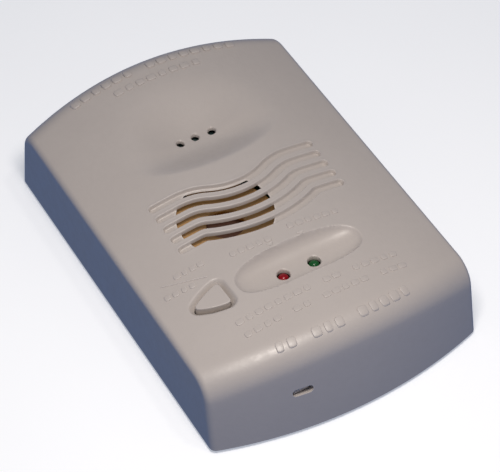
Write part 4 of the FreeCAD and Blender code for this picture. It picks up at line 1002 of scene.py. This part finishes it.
def metal(name, colour, dark, rough):
    """Bare metal with faint stains and a fine rub."""
    _, tree, shader = new_material(name)
    broad = noise(tree, scale=120.0, detail=4.0, roughness=0.6)
    fine = noise(tree, scale=3600.0, detail=3.0, roughness=0.7, distortion=0.2)
    set_inputs(tree, shader, {
        "Base Color": ramp(tree, broad, [(0.32, dark), (0.62, colour)]),
        "Metallic": 1.0,
        "Roughness": map_range(tree, fine, low=rough - 0.1, high=rough + 0.14,
                               start=0.3, end=0.7)})
    bump(tree, shader, fine, strength=0.25, distance=0.00002, bevel=0.00008)


def glossy(name, colour, dark, rough, coat):
    """Lacquered surface under a clear coat."""
    _, tree, shader = new_material(name)
    broad = noise(tree, scale=160.0, detail=3.0, roughness=0.5)
    fine = noise(tree, scale=3000.0, detail=2.0, roughness=0.5)
    set_inputs(tree, shader, {
        "Base Color": ramp(tree, broad, [(0.35, dark), (0.65, colour)]),
        "Roughness": map_range(tree, fine, low=rough - 0.05, high=rough + 0.08,
                               start=0.3, end=0.7),
        "Coat Weight": coat,
        "Coat Roughness": 0.12})
    bump(tree, shader, broad, strength=0.12, distance=0.00006, bevel=0.0001)


def lens(name, colour, dark, glow):
    """Tinted epoxy dome, darker toward its rim, with a faint painted glow."""
    _, tree, shader = new_material(name)
    broad = noise(tree, scale=700.0, detail=3.0, roughness=0.5)
    facing = add_node(tree, "LayerWeight", {"Blend": 0.35}).outputs["Facing"]
    body = ramp(tree, broad, [(0.3, dark), (0.7, colour)])
    set_inputs(tree, shader, {
        "Base Color": mix_colour(tree, facing, body, rgba(dark)),
        "Roughness": 0.24,
        "Specular IOR Level": 0.3,
        "IOR": 1.53,
        "Coat Weight": 0.15,
        "Coat Roughness": 0.05,
        # painted light: a faint emission brightens the unlit lens
        "Emission Color": rgba(colour),
        "Emission Strength": glow})
    bump(tree, shader, broad, strength=0.06, distance=0.00005)


def fabric(name, colour, dark, scale):
    """A woven screen: two crossed wave sets."""
    _, tree, shader = new_material(name)
    threads = [add_node(tree, "TexWave", {
        "Scale": scale, "Distortion": 0.6, "Vector": object_coords(tree)},
        bands_direction=axis).outputs["Fac"] for axis in ("X", "Y")]
    weave = calculate(tree, "MULTIPLY", *threads)
    set_inputs(tree, shader, {
        "Base Color": ramp(tree, weave, [(0.1, dark), (0.8, colour)]),
        "Roughness": 0.85,
        "Sheen Weight": 0.3})
    bump(tree, shader, weave, strength=0.7, distance=0.00008)


# ------------------------------------------------------------------ materials
# each has its name, its main colour and its darker colour first
# the cover's light edge colour is a painted highlight along its rims
moulded("cover_plastic", (0.565, 0.515, 0.490), (0.548, 0.499, 0.475), rough=0.40, grain=1500.0,
        grain_height=0.00006, grain_strength=0.42, edge_wear_and_highlight=(0.86, 0.81, 0.79), bevel=0.00012,
        specular=0.62)
moulded("plate_plastic", (0.60, 0.58, 0.54), (0.57, 0.55, 0.51), rough=0.55, grain=2300.0,
        grain_height=0.00003, grain_strength=0.3, edge_wear_and_highlight=(0.64, 0.62, 0.60), bevel=0.00015)
moulded("black_plastic", (0.028, 0.028, 0.030), (0.02, 0.02, 0.021), rough=0.5, grain=2800.0,
        grain_height=0.00003, grain_strength=0.3, edge_wear_and_highlight=(0.07, 0.07, 0.07), bevel=0.0001,
        corner_shade=0.1)
# the amber's faint glow is painted light
moulded("amber_plastic", (0.47, 0.285, 0.125), (0.36, 0.215, 0.09), rough=0.38, grain=1800.0,
        edge_wear_and_highlight=(0.45, 0.29, 0.1), bevel=0.0001, glow=(0.30, 0.165, 0.06))
moulded("terminal_green", (0.03, 0.24, 0.10), (0.025, 0.20, 0.085), rough=0.42, grain=2600.0,
        edge_wear_and_highlight=(0.1, 0.35, 0.18), bevel=0.0001)
glossy("relay_blue", (0.025, 0.09, 0.30), (0.02, 0.07, 0.25), rough=0.3, coat=0.2)
glossy("capacitor_sleeve", (0.02, 0.024, 0.05), (0.015, 0.018, 0.04), rough=0.28, coat=0.3)
glossy("suppressor_blue", (0.02, 0.10, 0.34), (0.015, 0.08, 0.28), rough=0.25, coat=0.6)
glossy("board_laminate", (0.012, 0.135, 0.05), (0.010, 0.105, 0.04), rough=0.3, coat=0.4)
lens("red_lens", (0.30, 0.002, 0.010), (0.15, 0.001, 0.006), glow=0.05)
lens("green_lens", (0.010, 0.12, 0.028), (0.005, 0.06, 0.015), glow=0.06)
fabric("filter_felt", (0.03, 0.03, 0.03), (0.01, 0.01, 0.01), scale=900.0)
fabric("screen_fabric", (0.03, 0.13, 0.12), (0.01, 0.05, 0.05), scale=2600.0)
moulded("foam_rubber", (0.04, 0.04, 0.042), (0.02, 0.02, 0.022), rough=0.85, grain=1500.0,
        grain_height=0.0001, grain_strength=0.8, corner_shade=0.1)
moulded("lead_insulation", (0.42, 0.03, 0.025), (0.34, 0.02, 0.02), rough=0.42, grain=2000.0)
metal("screw_steel", (0.62, 0.62, 0.60), (0.42, 0.42, 0.40), rough=0.34)
metal("can_steel", (0.66, 0.66, 0.65), (0.5, 0.5, 0.5), rough=0.28)
metal("tinned_brass", (0.70, 0.69, 0.65), (0.5, 0.48, 0.42), rough=0.36)
metal("disc_brass", (0.70, 0.50, 0.20), (0.5, 0.34, 0.13), rough=0.3)
metal("copper_wire", (0.60, 0.26, 0.10), (0.42, 0.17, 0.06), rough=0.34)
# painted shade: the white ceramic is coloured dark brown, as it looks deep inside the sounder
moulded("piezo_ceramic_white", (0.20, 0.11, 0.085), (0.15, 0.08, 0.06), rough=0.45, grain=1800.0)
moulded("chip_ceramic", (0.16, 0.12, 0.085), (0.11, 0.08, 0.06), rough=0.5, grain=3000.0,
        edge_wear_and_highlight=(0.5, 0.48, 0.44))
moulded("ferrite", (0.045, 0.045, 0.047), (0.03, 0.03, 0.031), rough=0.6, grain=2200.0,
        grain_height=0.00005, grain_strength=0.5, edge_wear_and_highlight=(0.09, 0.09, 0.09), bevel=0.0001)

for ob in (cover, bosses, relief):
    ob.data.materials.clear()
    ob.data.materials.append(MATERIALS["cover_plastic"])
slot_of = {part["node"]: part.get("material_slot") for part in frame["record"]["subparts"]}
for name, ob in frame["nodes"].items():
    material = MATERIALS.get(slot_of.get(name), MATERIALS["plate_plastic"])
    if not ob.material_slots:
        ob.data.materials.append(material)
    for slot in ob.material_slots:
        slot.material = material
    shade_smooth(ob.data, sharp_degrees=30)


# ------------------------------------------------------------------ floor, metres
def make_floor(half=1.6, cells=24, z=-0.0003):
    mesh = bpy.data.meshes.new("floor")
    lines = [-half + 2 * half * k / cells for k in range(cells + 1)]
    side = cells + 1
    mesh.from_pydata([(x, y, z) for y in lines for x in lines], [],
                     [(j * side + i, j * side + i + 1, (j + 1) * side + i + 1, (j + 1) * side + i)
                      for j in range(cells) for i in range(cells)])
    floor = bpy.data.objects.new("floor", mesh)
    bpy.context.scene.collection.objects.link(floor)
    material, tree, shader = new_material("floor_paper")
    mottle = noise(tree, scale=8.0, detail=3.0, roughness=0.5)
    set_inputs(tree, shader, {
        "Base Color": ramp(tree, mottle, [(0.3, (0.80, 0.81, 0.83)), (0.7, (0.83, 0.84, 0.86))]),
        "Emission Color": (0.93, 0.95, 1.0, 1),
        "Emission Strength": 0.42,
        "Roughness": 0.9,
        "Specular IOR Level": 0.1})
    mesh.materials.append(material)
    return floor


floor = make_floor()
# the floor is seen and shaded but throws no light back up, as if it stood on dark cloth
floor.visible_diffuse = False
floor.visible_glossy = False


# ------------------------------------------------------------------ lights, metres and watts
def add_area_light(name, place, target, size, power, colour):
    light = bpy.data.lights.new(name, "AREA")
    light.shape = "SQUARE"
    light.size = size
    light.energy = power
    light.color = colour
    ob = bpy.data.objects.new(name, light)
    ob.location = place
    ob.rotation_euler = (Vector(target) - Vector(place)).to_track_quat("-Z", "Y").to_euler()
    bpy.context.scene.collection.objects.link(ob)


add_area_light("key", place=(-0.052, -0.118, 0.29), target=(-0.01, -0.035, 0.02), size=0.075,
               power=0.50, colour=(1.0, 0.935, 0.865))
add_area_light("edge", place=(0.10, -0.16, 0.60), target=(0, -0.01, 0.02), size=0.05,
               power=0.22, colour=(1.0, 0.95, 0.88))
add_area_light("back_soft", place=(0.35, 0.9, 0.7), target=(0, 0, 0.01), size=0.6,
               power=0.35, colour=(0.92, 0.95, 1.0))
for ob in bpy.data.objects:
    if ob.type == "LIGHT":
        ob.visible_camera = False

# blue from below the horizon, turning grey overhead
world = bpy.data.worlds.new("studio")
world.use_nodes = True
sky = world.node_tree
direction = add_node(sky, "TexCoord", {}).outputs["Generated"]
upward = add_node(sky, "SeparateXYZ", {0: direction}).outputs[2]
sky_colour = ramp(sky, map_range(sky, upward, low=0.0, high=1.0, start=-0.35, end=0.45),
                  [(0.0, (0.10, 0.19, 0.42)), (0.5, (0.13, 0.19, 0.33)),
                   (1.0, (0.20, 0.205, 0.225))])
set_inputs(sky, sky.nodes["Background"], {"Color": sky_colour, "Strength": 0.86})
bpy.context.scene.world = world
bpy.context.scene.view_settings.view_transform = "Standard"

# ------------------------------------------------------------------ camera
# The pose takes the alarm's frame to a view frame with x right, y down and z forward:
# a turn given as axis times angle in radians, then a shift in mm.
VIEW_TURN = Vector((2.34202738, -0.62425521, 0.22030182))
VIEW_SHIFT = Vector((-2.21087614, 5.26369575, 658.852943))
from_view = Matrix.Rotation(VIEW_TURN.length, 3, VIEW_TURN.normalized()).transposed()
place = -(from_view @ VIEW_SHIFT) * MM
# a Blender camera looks down its own -Z with Y up
turn = from_view @ Matrix(((1, 0, 0), (0, -1, 0), (0, 0, -1)))
camera_data = bpy.data.cameras.new("camera")
camera_data.sensor_width = 36.0
camera_data.lens = 165.065688
camera_data.clip_start = 0.01
camera_data.clip_end = 20
camera = bpy.data.objects.new("camera", camera_data)
camera.matrix_world = Matrix.Translation(place) @ turn.to_4x4()
bpy.context.scene.collection.objects.link(camera)
bpy.context.scene.camera = camera
